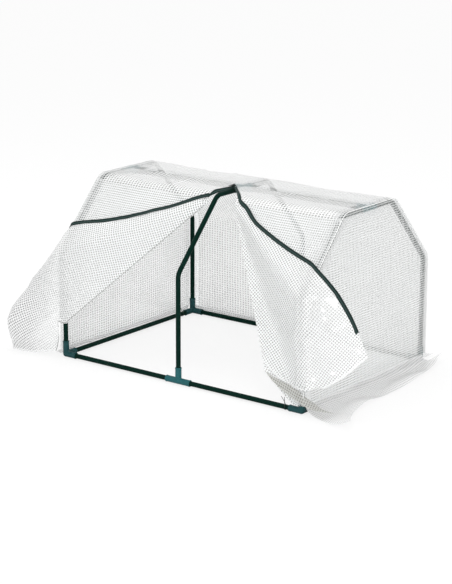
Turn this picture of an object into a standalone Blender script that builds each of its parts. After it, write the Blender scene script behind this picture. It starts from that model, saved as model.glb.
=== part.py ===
"""Mini greenhouse: a frame of bent steel tubes under a zipped cloth cover, with both door flaps folded open.

Metres, +Z up. X runs along the length, the front faces -Y, and the ground is z = 0.
"""
import math

import bmesh
import bpy
from mathutils import Vector

# Frame: the hoops' centrelines
SPAN = 0.974  # end hoop to end hoop
DEPTH = 0.688  # front post to rear post
SHOULDER_Z = 0.365  # where a post's line meets its slant's line
TOP_Z = 0.589  # the flat top's centreline
TOP_WIDTH = 0.279  # between the two corners of the flat top
BEND_RADIUS = 0.040  # of a tube's centreline
BEND_STEPS = 4

# Tubes and connectors
TUBE_RADIUS = 0.008
TUBE_WALL = 0.0007
CONNECTOR_RADIUS = 0.011
SOCKET_CLEARANCE = 0.0003  # between a tube and its socket's bore
SOCKET_REACH = 0.046  # a corner socket's mouth, from where its axes meet
TEE_REACH = 0.050
RIDGE_REACH = 0.040
TUBE_STOP = 0.014  # a tube's end, from where the axes meet
FOOT_FLAT = 0.0006  # how much of a round socket is flattened where it stands
TUBE_SIDES_RESOLUTION = 4
CONNECTOR_SIDES = 16

# Cloth
CLOTH = 0.0012
GAP = 0.0003
EDGE_GAP = 0.0007  # between an end panel's edge and the cloth over it
WALL_FOOT = 0.030  # the lower edge of the rear and end walls
REACH_X = 0.715  # the skirt's farthest points from the middle
REACH_Y = 0.440
SLIT_TOP = 0.045  # the zip's upper end, forward of the ridge
SLIT_HALF = 0.004
SLIT_OPEN = 0.092  # how far the right side stands off the middle at the front bend
LEFT_APEX = 0.014  # the left flap's upper corner, left of the middle
LEFT_FOLD_FOOT = 0.120  # where the left fold meets the post
RIGHT_FOLD_X = 0.355  # the lower end of the right fold
RIGHT_FOLD_FOOT = 0.116
RIGHT_FLAP_FOOT = 0.89  # the share of the right fold that the flap hangs on
FLAP_LIFT = 0.004  # a folded flap's middle off the middle of the cloth under it
FLAP_SEAT = CLOTH + GAP  # the same along its fold
FOLD_CLEARANCE = 0.003  # from a fold's line to the flap's edge, less near its apex
FLAP_STEPS = 24
FLAP_SHARES = (0.04, 0.34, 0.67, 0.96, 1)  # of the way from a flap's upper corner to the end hoop
LEFT_CROSSING = 0.35  # where the zip crosses the end hoop's slant, up from its shoulder
RIGHT_CROSSING = 0.375
LEFT_BELLY = (0, 0.0045, 0.0166, 0.0020, 0)  # how far the zip hangs below a straight line, at each flap share
RIGHT_BELLY = (0, 0.0092, 0.0105, 0, 0)
LEFT_DIP = 0.013  # how far down the slope the zip turns while it passes the end hoop
RIGHT_DIP = 0.020
RIGHT_HEM_POST = 0.085  # the right flap's hem, where it passes the post

# Zip
TAPE_WIDTH = 0.012
TAPE_IN = SLIT_HALF - GAP  # how far a roof tape stands into the slit
TAPE_LIFT = 0.0020  # a tape's middle off the middle of the cloth that it is sewn to
ZIP_STEPS = 22  # how many of a flap's steps the zip runs down
SLIDER = (0.009, 0.013, 0.0045)
BRIDGE_WIDTH = 0.0024
BRIDGE_LENGTH = 0.009
BRIDGE_BAR = 0.0012
BRIDGE_HEIGHT = 0.0036
PULL_LENGTH = 0.024
PULL_WIDTH = 0.008
PULL_THICKNESS = 0.0012
PULL_WINDOW = (0.0042, 0.0062)
PULL_CROSSBAR = 0.0014
PULL_LIFT = 0.0012  # the pull's axis above the slider's top

# Ends and ties
PIPING_RADIUS = 0.0012
TIE_RADIUS = 0.0008
TIE_IN = 0.058  # from a corner along its rail
TIE_APART = 0.012  # between a tie's two ends
TIE_POINTS = 28
RIGHT_TIE_TOP = 0.046
LEFT_TIE_TOP = 0.050

# Worked out from the sizes above
RAIL_Z = CONNECTOR_RADIUS - FOOT_FLAT
BORE_RADIUS = TUBE_RADIUS + SOCKET_CLEARANCE
COVER_OFFSET = CONNECTOR_RADIUS + GAP + CLOTH / 2
COVER_EDGE = COVER_OFFSET + CLOTH / 2
HALF_SPAN = SPAN / 2
HOOP_SIDE = HALF_SPAN - COVER_OFFSET  # where cloth from the middle first lies over an end hoop
HALF_DEPTH = DEPTH / 2
HALF_TOP = TOP_WIDTH / 2
SLANT = Vector((0, -(HALF_DEPTH - HALF_TOP), SHOULDER_Z - TOP_Z))
SLOPE_NORMAL = Vector((0, SLANT.z, -SLANT.y)).normalized()
TOP_TURN = math.atan2(-SLANT.z, -SLANT.y)
BEND_SHARE = (BEND_RADIUS + COVER_OFFSET) * math.tan(TOP_TURN / 2) / SLANT.length
SKIRT_TOP = WALL_FOOT - GAP
LYING = GAP + CLOTH / 2

# The end skirts' hems from the rear forward: out from the end hoop, back from the front posts, up
RIGHT_HEM = (
    (0.050, 0.779, 0.030), (0.062, 0.716, 0.028), (0.078, 0.654, 0.015), (0.098, 0.534, 0.010),
    (0.108, 0.404, 0.004), (0.113, 0.284, 0.006), (0.113, 0.199, 0.015), (0.143, 0.074, 0.015),
    (REACH_X - HALF_SPAN, -0.074, 0.045),
)
LEFT_HEM = (
    (0.060, 0.750, 0.012), (0.085, 0.690, 0.006), (0.105, 0.590, 0.010), (0.115, 0.480, 0.004),
    (0.112, 0.370, 0.008), (0.105, 0.260, 0.003), (0.095, 0.160, 0.003), (0.080, 0.080, 0.003),
    (0.060, 0.020, 0.003),
)

# The flaps past the end hoops, in rows from the front seam or the post round to the zip, in the same three ways
LEFT_SLEEVE = (
    # its upper turn
    ((0.009, -0.0235, 0.072), (0.062, -0.032, 0.150), (0.096, -0.014, 0.245), (0.104, 0.004, 0.282),
     (0.096, 0.030, 0.320), (0.074, 0.070, 0.350), (0.043, 0.105, 0.372)),
    # its belly
    ((0.012, -0.0265, 0.046), (0.115, -0.050, 0.066), (0.200, -0.062, 0.092), (0.2195, -0.040, 0.110),
     (0.215, 0.000, 0.140), (0.160, 0.070, 0.190), (0.075, 0.130, 0.262)),
    # its hem
    ((0.017, -0.029, 0.024), (0.120, -0.044, 0.003), (0.200, -0.040, 0.003), (0.2255, -0.014, 0.004),
     (0.220, 0.040, 0.020), (0.175, 0.110, 0.080), (0.095, 0.155, 0.175)),
)
RIGHT_CURL = (
    # just outside the end, from the post's foot up to the zip
    ((0.021, -0.022, 0.084), (0.033, -0.011, 0.185), (0.043, 0.004, 0.290), (0.050, 0.019, 0.325),
     (0.058, 0.032, 0.362), (0.066, 0.047, 0.382), (0.073, 0.062, 0.397)),
    ((0.042, -0.020, 0.086), (0.063, 0.029, 0.140), (0.081, 0.049, 0.200), (0.093, 0.064, 0.235),
     (0.107, 0.080, 0.265), (0.115, 0.089, 0.281), (0.123, 0.097, 0.297)),
    # the hem, up to the zip's lower end
    ((0.066, -0.017, 0.0915), (0.086, 0.052, 0.104), (0.105, 0.074, 0.122), (0.119, 0.090, 0.137),
     (0.135, 0.108, 0.158), (0.144, 0.118, 0.169), (0.153, 0.128, 0.180)),
)
CURL_DROP = 0.0072  # how much farther down its fold each row of the curl starts
FRONT_SKIRT_MIDDLE = (
    (-0.127, -0.017, 0.108), (-0.080, -0.025, 0.074), (-0.036, -0.033, 0.042), (0.030, -0.036, 0.026),
)
FRONT_SKIRT_HEM = (
    (-0.120, -0.018, 0.094), (-0.060, -0.036, 0.050), (0.010, -0.056, 0.020), (0.150, HALF_DEPTH - REACH_Y, 0.026),
)

# Colours
GREEN_STEEL = ((0.012, 0.045, 0.033), 0.35, 0.0)
TEAL_PLASTIC = ((0.055, 0.16, 0.18), 0.45, 0.0)
WHITE_CLOTH = ((0.82, 0.84, 0.84), 0.45, 0.0)
DARK_TAPE = ((0.030, 0.060, 0.052), 0.7, 0.0)
DARK_METAL = ((0.02, 0.03, 0.03), 0.4, 0.6)
DARK_CORD = ((0.015, 0.02, 0.02), 0.8, 0.0)


# Scene and materials

def clear_scene():
    for each in list(bpy.data.objects):
        bpy.data.objects.remove(each, do_unlink=True)


def new_collection(name, shown):
    made = bpy.data.collections.new(name)
    made.hide_render = not shown
    bpy.context.scene.collection.children.link(made)
    return made


def finish_with(obj, look):
    colour, roughness, metallic = look
    material = bpy.data.materials.new(obj.name)
    material.use_nodes = True
    shader = material.node_tree.nodes["Principled BSDF"]
    shader.inputs["Base Color"].default_value = (*colour, 1)
    shader.inputs["Roughness"].default_value = roughness
    shader.inputs["Metallic"].default_value = metallic
    obj.data.materials.append(material)


def add_part(name, data, look, parent=None):
    """An object of the greenhouse. Its data is in world places, moved to its parent's origin if it has one."""
    obj = bpy.data.objects.new(name, data)
    PARTS.objects.link(obj)
    if parent:
        obj.parent = parent
    finish_with(obj, look)
    return obj


def add_axis(name, place):
    axis = bpy.data.objects.new(name, None)
    axis.location = place
    axis.empty_display_size = 0.05
    PARTS.objects.link(axis)
    return axis


# Solids to join and to cut with

def add_cylinder(name, radius, start, end, sides, collection):
    """A closed cylinder between two places."""
    start, end = Vector(start), Vector(end)
    along = end - start
    shape = bmesh.new()
    bmesh.ops.create_cone(
        shape, cap_ends=True, segments=sides, radius1=radius, radius2=radius, depth=along.length
    )
    mesh = bpy.data.meshes.new(name)
    shape.to_mesh(mesh)
    shape.free()
    obj = bpy.data.objects.new(name, mesh)
    obj.location = (start + end) / 2
    obj.rotation_mode = "QUATERNION"
    obj.rotation_quaternion = along.to_track_quat("Z", "Y")
    collection.objects.link(obj)
    return obj


def add_box(name, low, high, collection):
    low, high = Vector(low), Vector(high)
    shape = bmesh.new()
    bmesh.ops.create_cube(shape, size=1)
    bmesh.ops.scale(shape, vec=high - low, verts=shape.verts)
    mesh = bpy.data.meshes.new(name)
    shape.to_mesh(mesh)
    shape.free()
    obj = bpy.data.objects.new(name, mesh)
    obj.location = (low + high) / 2
    collection.objects.link(obj)
    return obj


def boolean(obj, other, operation):
    other.hide_render = True
    other.display_type = "WIRE"
    step = obj.modifiers.new(other.name, "BOOLEAN")
    step.operation = operation
    step.solver = "EXACT"
    step.object = other


# The hoops' section, seen from the end

def filleted(corners, radii, steps):
    """The corners joined by straight lines, with each inner corner rounded to its radius."""
    points = [corners[0]]
    for before, corner, after, radius in zip(corners, corners[1:], corners[2:], radii):
        into, out = (corner - before).normalized(), (after - corner).normalized()
        turn = into.angle(out)
        reach = radius * math.tan(turn / 2)
        centre = corner + (out - into).normalized() * (radius / math.cos(turn / 2))
        first, last = corner - into * reach, corner + out * reach
        for k in range(steps + 1):
            share = k / steps
            angle = turn * share
            arm = first - centre
            side = into * radius
            points.append(centre + arm * math.cos(angle) + side * math.sin(angle))
        points[-1] = last
    return points + [corners[-1]]


def offset_corner(corner, into, out, offset):
    """Where a corner moves when both of its lines move out by the offset."""
    outward = (into - out).normalized()
    return corner + outward * (offset / math.cos(into.angle(out) / 2))


def section_corners(offset, foot):
    """The front foot, shoulder and top corners, then the rear ones, at an offset outside the centrelines."""
    up, flat = Vector((0, 0, 1)), Vector((0, 1, 0))
    slant = -SLANT.normalized()
    shoulder = offset_corner(Vector((0, -HALF_DEPTH, SHOULDER_Z)), up, slant, offset)
    top = offset_corner(Vector((0, -HALF_TOP, TOP_Z)), slant, flat, offset)
    front = [Vector((0, -HALF_DEPTH - offset, foot)), shoulder, top]
    return front + [Vector((0, -p.y, p.z)) for p in reversed(front)]


def section(offset, foot):
    """The whole section, rounded at its bends."""
    corners = section_corners(offset, foot)
    return filleted(corners, [BEND_RADIUS + offset] * 4, BEND_STEPS)


def slope_point(x, down, lift):
    """On the front slope, down from its top corner as a share of the slant, off the centreline's plane by the lift."""
    return Vector((x, -HALF_TOP, TOP_Z)) + SLANT * down + SLOPE_NORMAL * lift


# Frame

def add_tube(name, points):
    """A hollow steel tube along its centreline."""
    curve = bpy.data.curves.new(name, "CURVE")
    curve.dimensions = "3D"
    curve.bevel_depth = TUBE_RADIUS
    curve.bevel_resolution = TUBE_SIDES_RESOLUTION
    line = curve.splines.new("POLY")
    line.points.add(len(points) - 1)
    for point, place in zip(line.points, points):
        point.co = (*place, 1)
    line.use_smooth = True
    tube = add_part(name, curve, GREEN_STEEL)
    wall = tube.modifiers.new("Wall", "SOLIDIFY")
    wall.thickness = TUBE_WALL
    wall.offset = -1
    return tube


def add_connector(name, hub, arms, stands):
    """A moulded connector: a round socket along each arm, bored from its stop to its mouth."""
    hub = Vector(hub)
    body = None
    for k, (direction, reach) in enumerate(arms):
        direction = Vector(direction)
        back = direction * CONNECTOR_RADIUS if stands and direction.z else Vector()
        socket = add_cylinder(
            f"{name}_socket_{k}", CONNECTOR_RADIUS, hub - back, hub + direction * reach, CONNECTOR_SIDES, CUTTERS
        )
        if body is None:
            body = add_part(name, socket.data, TEAL_PLASTIC)
            body.location = socket.location
            body.rotation_mode = "QUATERNION"
            body.rotation_quaternion = socket.rotation_quaternion
            bpy.data.objects.remove(socket)
        else:
            boolean(body, socket, "UNION")
    for k, (direction, reach) in enumerate(arms):
        direction = Vector(direction)
        bore = add_cylinder(
            f"{name}_bore_{k}",
            BORE_RADIUS,
            hub + direction * TUBE_STOP,
            hub + direction * (reach + TUBE_STOP),
            CONNECTOR_SIDES,
            CUTTERS,
        )
        boolean(body, bore, "DIFFERENCE")
    if stands:
        wide = 2 * TEE_REACH
        floor = add_box(
            f"{name}_floor", hub + Vector((-wide, -wide, -wide)), (hub.x + wide, hub.y + wide, 0), CUTTERS
        )
        boolean(body, floor, "DIFFERENCE")
    return body


def add_rails():
    end = TUBE_STOP + GAP
    for name, y in (("front", -HALF_DEPTH), ("rear", HALF_DEPTH)):
        add_tube(f"{name}_rail_left", [(-HALF_SPAN + end, y, RAIL_Z), (-end, y, RAIL_Z)])
        add_tube(f"{name}_rail_right", [(end, y, RAIL_Z), (HALF_SPAN - end, y, RAIL_Z)])
    for name, x in (("left", -HALF_SPAN), ("right", HALF_SPAN)):
        add_tube(f"{name}_end_rail", [(x, -HALF_DEPTH + end, RAIL_Z), (x, HALF_DEPTH - end, RAIL_Z)])
        inner = -math.copysign(end, x)
        add_tube(f"{name}_ridge_tube", [(x + inner, 0, TOP_Z), (-inner, 0, TOP_Z)])


def add_hoops():
    """Each hoop is two bent halves, plugged into a base connector and a ridge connector."""
    end = TUBE_STOP + GAP
    front = section_corners(0, RAIL_Z + end)[:3] + [Vector((0, -end, TOP_Z))]
    line = filleted(front, [BEND_RADIUS] * 2, BEND_STEPS)
    for name, x in (("left", -HALF_SPAN), ("centre", 0), ("right", HALF_SPAN)):
        for half, side in (("front", 1), ("rear", -1)):
            add_tube(f"{name}_hoop_{half}", [(x, side * p.y, p.z) for p in line])


def add_connectors():
    up = ((0, 0, 1), SOCKET_REACH)
    for name, y in (("front", -1), ("rear", 1)):
        for side, x in (("left", -1), ("right", 1)):
            arms = [up, ((-x, 0, 0), SOCKET_REACH), ((0, -y, 0), SOCKET_REACH)]
            add_connector(f"{name}_{side}_corner", (x * HALF_SPAN, y * HALF_DEPTH, RAIL_Z), arms, True)
        arms = [((0, 0, 1), SOCKET_REACH), ((1, 0, 0), TEE_REACH), ((-1, 0, 0), TEE_REACH)]
        add_connector(f"{name}_base_tee", (0, y * HALF_DEPTH, RAIL_Z), arms, True)
    along = [((0, 1, 0), RIDGE_REACH), ((0, -1, 0), RIDGE_REACH)]
    inward = [((1, 0, 0), RIDGE_REACH)]
    outward = [((-1, 0, 0), RIDGE_REACH)]
    add_connector("ridge_tee_left", (-HALF_SPAN, 0, TOP_Z), along + inward, False)
    add_connector("ridge_cross", (0, 0, TOP_Z), along + inward + outward, False)
    add_connector("ridge_tee_right", (HALF_SPAN, 0, TOP_Z), along + outward, False)


# Cloth

def thicken(obj, thickness=CLOTH):
    step = obj.modifiers.new("Cloth", "SOLIDIFY")
    step.thickness = thickness
    step.offset = 0
    step.use_even_offset = True


def add_run(name, line, x0, x1, parent=None):
    """A sheet: a line in the end view, drawn along X."""
    shape = bmesh.new()
    corners = [shape.verts.new((x0, p.y, p.z)) for p in line]
    edges = [shape.edges.new(pair) for pair in zip(corners, corners[1:])]
    drawn = bmesh.ops.extrude_edge_only(shape, edges=edges)
    moved = [v for v in drawn["geom"] if isinstance(v, bmesh.types.BMVert)]
    bmesh.ops.translate(shape, vec=(x1 - x0, 0, 0), verts=moved)
    bmesh.ops.recalc_face_normals(shape, faces=shape.faces)
    mesh = bpy.data.meshes.new(name)
    shape.to_mesh(mesh)
    shape.free()
    obj = add_part(name, mesh, WHITE_CLOTH, parent)
    thicken(obj)
    return obj


def spline(points, at):
    """A smooth curve through the points, with at from 0 to 1 over all of them. It stays tight where they are close."""
    spans = len(points) - 1
    k = min(int(at * spans), spans - 1)
    t = at * spans - k
    b, c = points[k], points[k + 1]
    a = points[k - 1] if k else b * 2 - c
    d = points[k + 2] if k + 2 <= spans else c * 2 - b
    before, here, after = (max(math.sqrt((q - p).length), 1e-4) for p, q in ((a, b), (b, c), (c, d)))
    leaving = (b - a) * (here / before) - (c - a) * (here / (before + here)) + (c - b)
    arriving = (c - b) - (d - b) * (here / (here + after)) + (d - c) * (here / after)
    return (
        b * (2 * t ** 3 - 3 * t ** 2 + 1)
        + leaving * (t ** 3 - 2 * t ** 2 + t)
        + c * (3 * t ** 2 - 2 * t ** 3)
        + arriving * (t ** 3 - t ** 2)
    )


def cloth_point(rows, down, across):
    """A point of the cloth whose main folds run through the rows of places."""
    return spline([spline(row, across) for row in rows], down)


def add_grid(name, points, look, parent=None, thickness=CLOTH):
    """A sheet over rows of points, each row as long as the next."""
    origin = parent.location if parent else Vector()
    wide = len(points[0])
    places = [p - origin for row in points for p in row]
    faces = []
    for i in range(len(points) - 1):
        for j in range(wide - 1):
            corner = i * wide + j
            faces.append((corner, corner + 1, corner + wide + 1, corner + wide))
    mesh = bpy.data.meshes.new(name)
    mesh.from_pydata([tuple(p) for p in places], [], faces)
    mesh.update()
    mesh.shade_smooth()
    obj = add_part(name, mesh, look, parent)
    thicken(obj, thickness)
    return obj


def steps(first, last, count):
    return [first + (last - first) * k / count for k in range(count + 1)]


def add_cloth(name, rows, down, across, parent=None):
    """A sheet through rows of places."""
    points = [[cloth_point(rows, i, j) for j in steps(0, 1, across)] for i in steps(0, 1, down)]
    return add_grid(name, points, WHITE_CLOTH, parent)


def facet_normal(apex, shoulder, foot):
    """The outward side of the flat facet below a shoulder."""
    n = (shoulder - apex).cross(foot - apex).normalized()
    return n if n.y < 0 else -n


def hoop_front(x, offset, feet, slants):
    """Places up the front of an end hoop: at each foot height, round the shoulder, then at each share of the slant."""
    line = section(offset, WALL_FOOT)
    shoulder, top = line[1 : BEND_STEPS + 2], line[BEND_STEPS + 2]
    up = [Vector((0, line[0].y, z)) for z in feet] + shoulder
    up += [shoulder[-1].lerp(top, share) for share in slants]
    return [Vector((x, p.y, p.z)) for p in up]


def outward_sides(low, feet, slants):
    """The cloth's outward side near the apex, for the places of hoop_front."""
    turning = [low.lerp(SLOPE_NORMAL, k / BEND_STEPS).normalized() for k in range(BEND_STEPS + 1)]
    return [low] * feet + turning + [SLOPE_NORMAL] * slants


def fan(apex, ends, sides, shares, offset):
    """Rows of places from the apex to each end."""
    return [[(apex + n * offset).lerp(end, share) for end, n in zip(ends, sides)] for share in shares]


def outer_edge(row, side):
    """The row moved on to the cover's outer edge, past the end hoop."""
    return [Vector((side * (HALF_SPAN + COVER_EDGE), p.y, p.z)) for p in row]


def left_fan(offset, shares, slants):
    """The cone of cloth between the left fold, the left hoop's front and a share of its slant."""
    apex = slope_point(-LEFT_APEX, BEND_SHARE, 0)
    feet = (LEFT_FOLD_FOOT, (LEFT_FOLD_FOOT + SHOULDER_Z) / 2)
    shoulder = Vector((-HALF_SPAN, -HALF_DEPTH, SHOULDER_Z))
    low = facet_normal(apex, shoulder, Vector((-HALF_SPAN, -HALF_DEPTH, LEFT_FOLD_FOOT)))
    ends = hoop_front(-HOOP_SIDE, offset, feet, slants)
    return fan(apex, ends, outward_sides(low, len(feet), len(slants)), shares, offset)


def right_fan(offset, shares, slants):
    """The same on the right. Its fold ends short of the post, so its first end lies on the front's plane."""
    apex = slope_point(SLIT_OPEN, BEND_SHARE, 0)
    feet = (WALL_FOOT, (WALL_FOOT + SHOULDER_Z) / 2)
    shoulder = Vector((HALF_SPAN, -HALF_DEPTH, SHOULDER_Z))
    low = facet_normal(apex, shoulder, Vector((RIGHT_FOLD_X, -HALF_DEPTH, RIGHT_FOLD_FOOT)))
    ends = hoop_front(HOOP_SIDE, offset, feet, slants)
    ends.insert(0, Vector((RIGHT_FOLD_X, -HALF_DEPTH - offset, RIGHT_FOLD_FOOT)))
    return fan(apex, ends, outward_sides(low, 1 + len(feet), len(slants)), shares, offset)


def add_fixed_fronts(cover):
    """The parts of the front that stay in place beside the two folds."""
    shares = (0.01, 0.34, 0.67, 0.96, 1)
    slants = (0.3, 0.6, 1)
    seam = SLANT.normalized() * GAP
    edge = HALF_SPAN + COVER_EDGE
    for name, rows, side in (
        ("cover_front_left", left_fan(COVER_OFFSET, shares, slants), -1),
        ("cover_front_right", right_fan(COVER_OFFSET, shares, slants), 1),
    ):
        if side > 0:
            last = [rows[-1][0] + (rows[-1][1] - rows[-1][0]) * 0.05] + outer_edge(rows[-1][1:], 1)
        else:
            last = outer_edge(rows[-1], -1)
        rows = [row[:-1] + [row[-1] + seam] for row in rows + [last]]
        points = [[cloth_point(rows, i, j) for j in steps(0, 1, 2 * (len(last) - 1))] for i in steps(0, 1, 10)]
        for point in (p for row in points for p in row):
            point.x = max(-edge, min(edge, point.x))
        add_grid(name, points, WHITE_CLOTH, cover)


def add_main_panel(cover):
    """The roof, with its slit, the rear slope and the rear wall."""
    line = section(COVER_OFFSET, WALL_FOOT)
    roof_from = 1 + BEND_STEPS + 1
    roof_to = roof_from + 2 * BEND_STEPS + 1
    slope_to = roof_to + BEND_STEPS + 1
    x = HALF_SPAN + COVER_EDGE
    roof = add_run("cover_roof", line[roof_from : roof_to + 1], -x, x, cover)
    down = (line[roof_to + 1] - line[roof_to]).normalized() * GAP
    add_run("cover_rear_slope", [line[roof_to] + down] + line[roof_to + 1 : slope_to + 1], -x, x, cover)
    below = Vector((0, 0, -GAP))
    add_run("cover_rear_wall", [line[slope_to] + below, line[-1]], -x, x, cover)
    front = line[roof_from].y - TAPE_WIDTH
    outline = [
        (-SLIT_HALF, -SLIT_TOP),
        (-LEFT_APEX, front),
        (SLIT_OPEN * (-front - SLIT_TOP) / (-line[roof_from].y - SLIT_TOP), front),
        (SLIT_HALF, -SLIT_TOP),
    ]
    slit = add_prism("slit", outline, TOP_Z - BEND_RADIUS, TOP_Z + BEND_RADIUS)
    boolean(roof, slit, "DIFFERENCE")
    return line[roof_from:]


def add_prism(name, outline, low, high):
    shape = bmesh.new()
    face = shape.faces.new([shape.verts.new((x, y, low)) for x, y in outline])
    drawn = bmesh.ops.extrude_face_region(shape, geom=[face])
    moved = [v for v in drawn["geom"] if isinstance(v, bmesh.types.BMVert)]
    bmesh.ops.translate(shape, vec=(0, 0, high - low), verts=moved)
    bmesh.ops.recalc_face_normals(shape, faces=shape.faces)
    mesh = bpy.data.meshes.new(name)
    shape.to_mesh(mesh)
    shape.free()
    obj = bpy.data.objects.new(name, mesh)
    CUTTERS.objects.link(obj)
    return obj


def add_end_panels(cover):
    """Each end is one flat panel, cut to the hoop's section."""
    outline = section(COVER_OFFSET - CLOTH / 2 - EDGE_GAP, WALL_FOOT)
    for name, side in (("left", -1), ("right", 1)):
        curve = bpy.data.curves.new(f"cover_{name}_end", "CURVE")
        curve.dimensions = "2D"
        curve.fill_mode = "BOTH"
        curve.extrude = CLOTH / 2
        line = curve.splines.new("POLY")
        line.points.add(len(outline) - 1)
        for point, place in zip(line.points, outline):
            point.co = (place.y, place.z, 0, 1)
        line.use_cyclic_u = True
        panel = add_part(f"cover_{name}_end", curve, WHITE_CLOTH, cover)
        panel.location = (side * (HALF_SPAN + COVER_OFFSET), 0, 0)
        panel.rotation_euler = (math.pi / 2, 0, math.pi / 2)


def add_piping(cover):
    """The corded seam round each end, from one foot over the top to the other."""
    reach = COVER_EDGE + GAP + PIPING_RADIUS
    outline = section(COVER_OFFSET, WALL_FOOT)
    for name, side in (("left", -1), ("right", 1)):
        curve = bpy.data.curves.new(f"{name}_end_piping", "CURVE")
        curve.dimensions = "3D"
        curve.bevel_depth = PIPING_RADIUS
        curve.bevel_resolution = 1
        curve.use_fill_caps = True
        line = curve.splines.new("POLY")
        line.points.add(len(outline) - 1)
        for point, place in zip(line.points, outline):
            point.co = (side * (HALF_SPAN + reach), place.y, place.z, 1)
        add_part(f"{name}_end_piping", curve, WHITE_CLOTH, cover)


# Flaps

def flap_columns(x, offset, feet, crossing):
    """Places up the front of an end hoop for a flap's folds: its feet, three round the shoulder, two up the slant."""
    line = hoop_front(x, offset, feet, (crossing / 2, crossing))
    count = len(feet)
    return line[:count] + [line[count], line[count + BEND_STEPS // 2], line[count + BEND_STEPS]] + line[-2:]


def flap_sides(low, feet):
    middle = low.lerp(SLOPE_NORMAL, 0.5).normalized()
    return [low] * (feet + 1) + [middle] + [SLOPE_NORMAL] * 3


def past_edge(row, side):
    """The row moved out past the piping."""
    out = HALF_SPAN + COVER_EDGE + GAP + 2 * PIPING_RADIUS + FLAP_LIFT
    return [Vector((side * out, p.y, p.z)) for p in row]


def beside(side, out, back, height):
    """A place outside an end: out from the end hoop, back from the front posts, up from the ground."""
    return Vector((side * (HALF_SPAN + out), -HALF_DEPTH + back, height))


def fold_line(cone, foot=1):
    """A fold's ends: the first places of a cone of cloth, from its apex to a share of its length."""
    apex, end = cone[0][0], cone[-1][0]
    return apex, apex.lerp(end, foot)


def seat_fold(rows, line):
    """Moves the rows' first column on to the fold, and just clear of it towards the flap's middle."""
    for row, share in zip(rows, FLAP_SHARES):
        on_line = line[0].lerp(line[1], share)
        across = row[1] - on_line
        row[0] = on_line + across.normalized() * min(FOLD_CLEARANCE, across.length * 0.3)


def hang_zip(rows, belly, dip):
    """Moves the rows' last column down the slope: by the belly over the front, and by the dip past the end."""
    down = SLANT.normalized()
    for row, sag in zip(rows, (*belly, dip)):
        row[-1] += down * sag
        row[-2] += down * (sag * 0.4)


def left_flap_rows(line):
    offset = COVER_OFFSET + FLAP_LIFT
    apex = slope_point(-LEFT_APEX, BEND_SHARE, 0)
    feet = (LEFT_FOLD_FOOT, (LEFT_FOLD_FOOT + SHOULDER_Z) / 2)
    shoulder = Vector((-HALF_SPAN, -HALF_DEPTH, SHOULDER_Z))
    low = facet_normal(apex, shoulder, Vector((-HALF_SPAN, -HALF_DEPTH, LEFT_FOLD_FOOT)))
    ends = flap_columns(-HOOP_SIDE, offset, feet, LEFT_CROSSING)
    rows = fan(apex, ends, flap_sides(low, len(feet)), FLAP_SHARES, offset)
    rows.append(past_edge(rows[-1], -1))
    seat_fold(rows, line)
    hang_zip(rows, LEFT_BELLY, LEFT_DIP)
    return rows + [[beside(-1, *place) for place in places] for places in LEFT_SLEEVE]


def right_flap_rows(line):
    offset = COVER_OFFSET + FLAP_LIFT
    apex = slope_point(SLIT_OPEN, BEND_SHARE, 0)
    feet = (RIGHT_HEM_POST, (RIGHT_HEM_POST + SHOULDER_Z) / 2)
    shoulder = Vector((HALF_SPAN, -HALF_DEPTH, SHOULDER_Z))
    low = facet_normal(apex, shoulder, Vector((RIGHT_FOLD_X, -HALF_DEPTH, RIGHT_FOLD_FOOT)))
    fold = line[1]
    post = Vector((HOOP_SIDE, -HALF_DEPTH - offset, RIGHT_HEM_POST))
    ends = [fold, fold.lerp(post, 0.5)] + flap_columns(HOOP_SIDE, offset, feet, RIGHT_CROSSING)
    rows = fan(apex, ends, flap_sides(low, 2 + len(feet)), FLAP_SHARES, offset)
    seat_fold(rows, line)
    hem = [fold, fold.lerp(post, 0.5)]
    drop = (line[1] - line[0]).normalized() * CURL_DROP
    rows.append([p + drop for p in hem] + past_edge(rows[-1][2:], 1))
    hang_zip(rows, RIGHT_BELLY, RIGHT_DIP)
    for turn, places in enumerate(RIGHT_CURL):
        rows.append([p + drop * (turn + 2) for p in hem] + [beside(1, *place) for place in places])
    return rows


def add_flap(name, rows, place, cover, across):
    """A flap, on an axis at its fold's upper end."""
    axis = add_axis(f"{name}_fold", place)
    axis.parent = cover
    add_cloth(name, rows, FLAP_STEPS, across, axis)
    return axis


# Skirt

def rippled(count, height, turns, phase):
    """Heights along a skirt that lies in ripples."""
    return [height * (0.5 + 0.5 * math.sin(phase + turns * 2 * math.pi * k / (count - 1))) for k in range(count)]


def add_rear_skirt(cover):
    count = 13
    wall = HALF_DEPTH + COVER_OFFSET
    along = steps(-HALF_SPAN, HALF_SPAN, count - 1)
    high = rippled(count, 0.014, 3, 0.4)
    rows = [
        [Vector((x, wall, SKIRT_TOP)) for x in along],
        [Vector((x, wall + 0.006, SKIRT_TOP * 0.5)) for x in along],
        [Vector((x, wall + 0.026, LYING + 0.002 + 0.3 * h)) for x, h in zip(along, high)],
        [Vector((x * 1.01, REACH_Y - 0.020, LYING + h)) for x, h in zip(along, high)],
        [Vector((x * 1.02, REACH_Y - 0.010 * abs(math.sin(5 * x)), LYING + 0.4 * h)) for x, h in zip(along, high)],
    ]
    add_cloth("rear_skirt", rows, 6, 24, cover)


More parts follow.
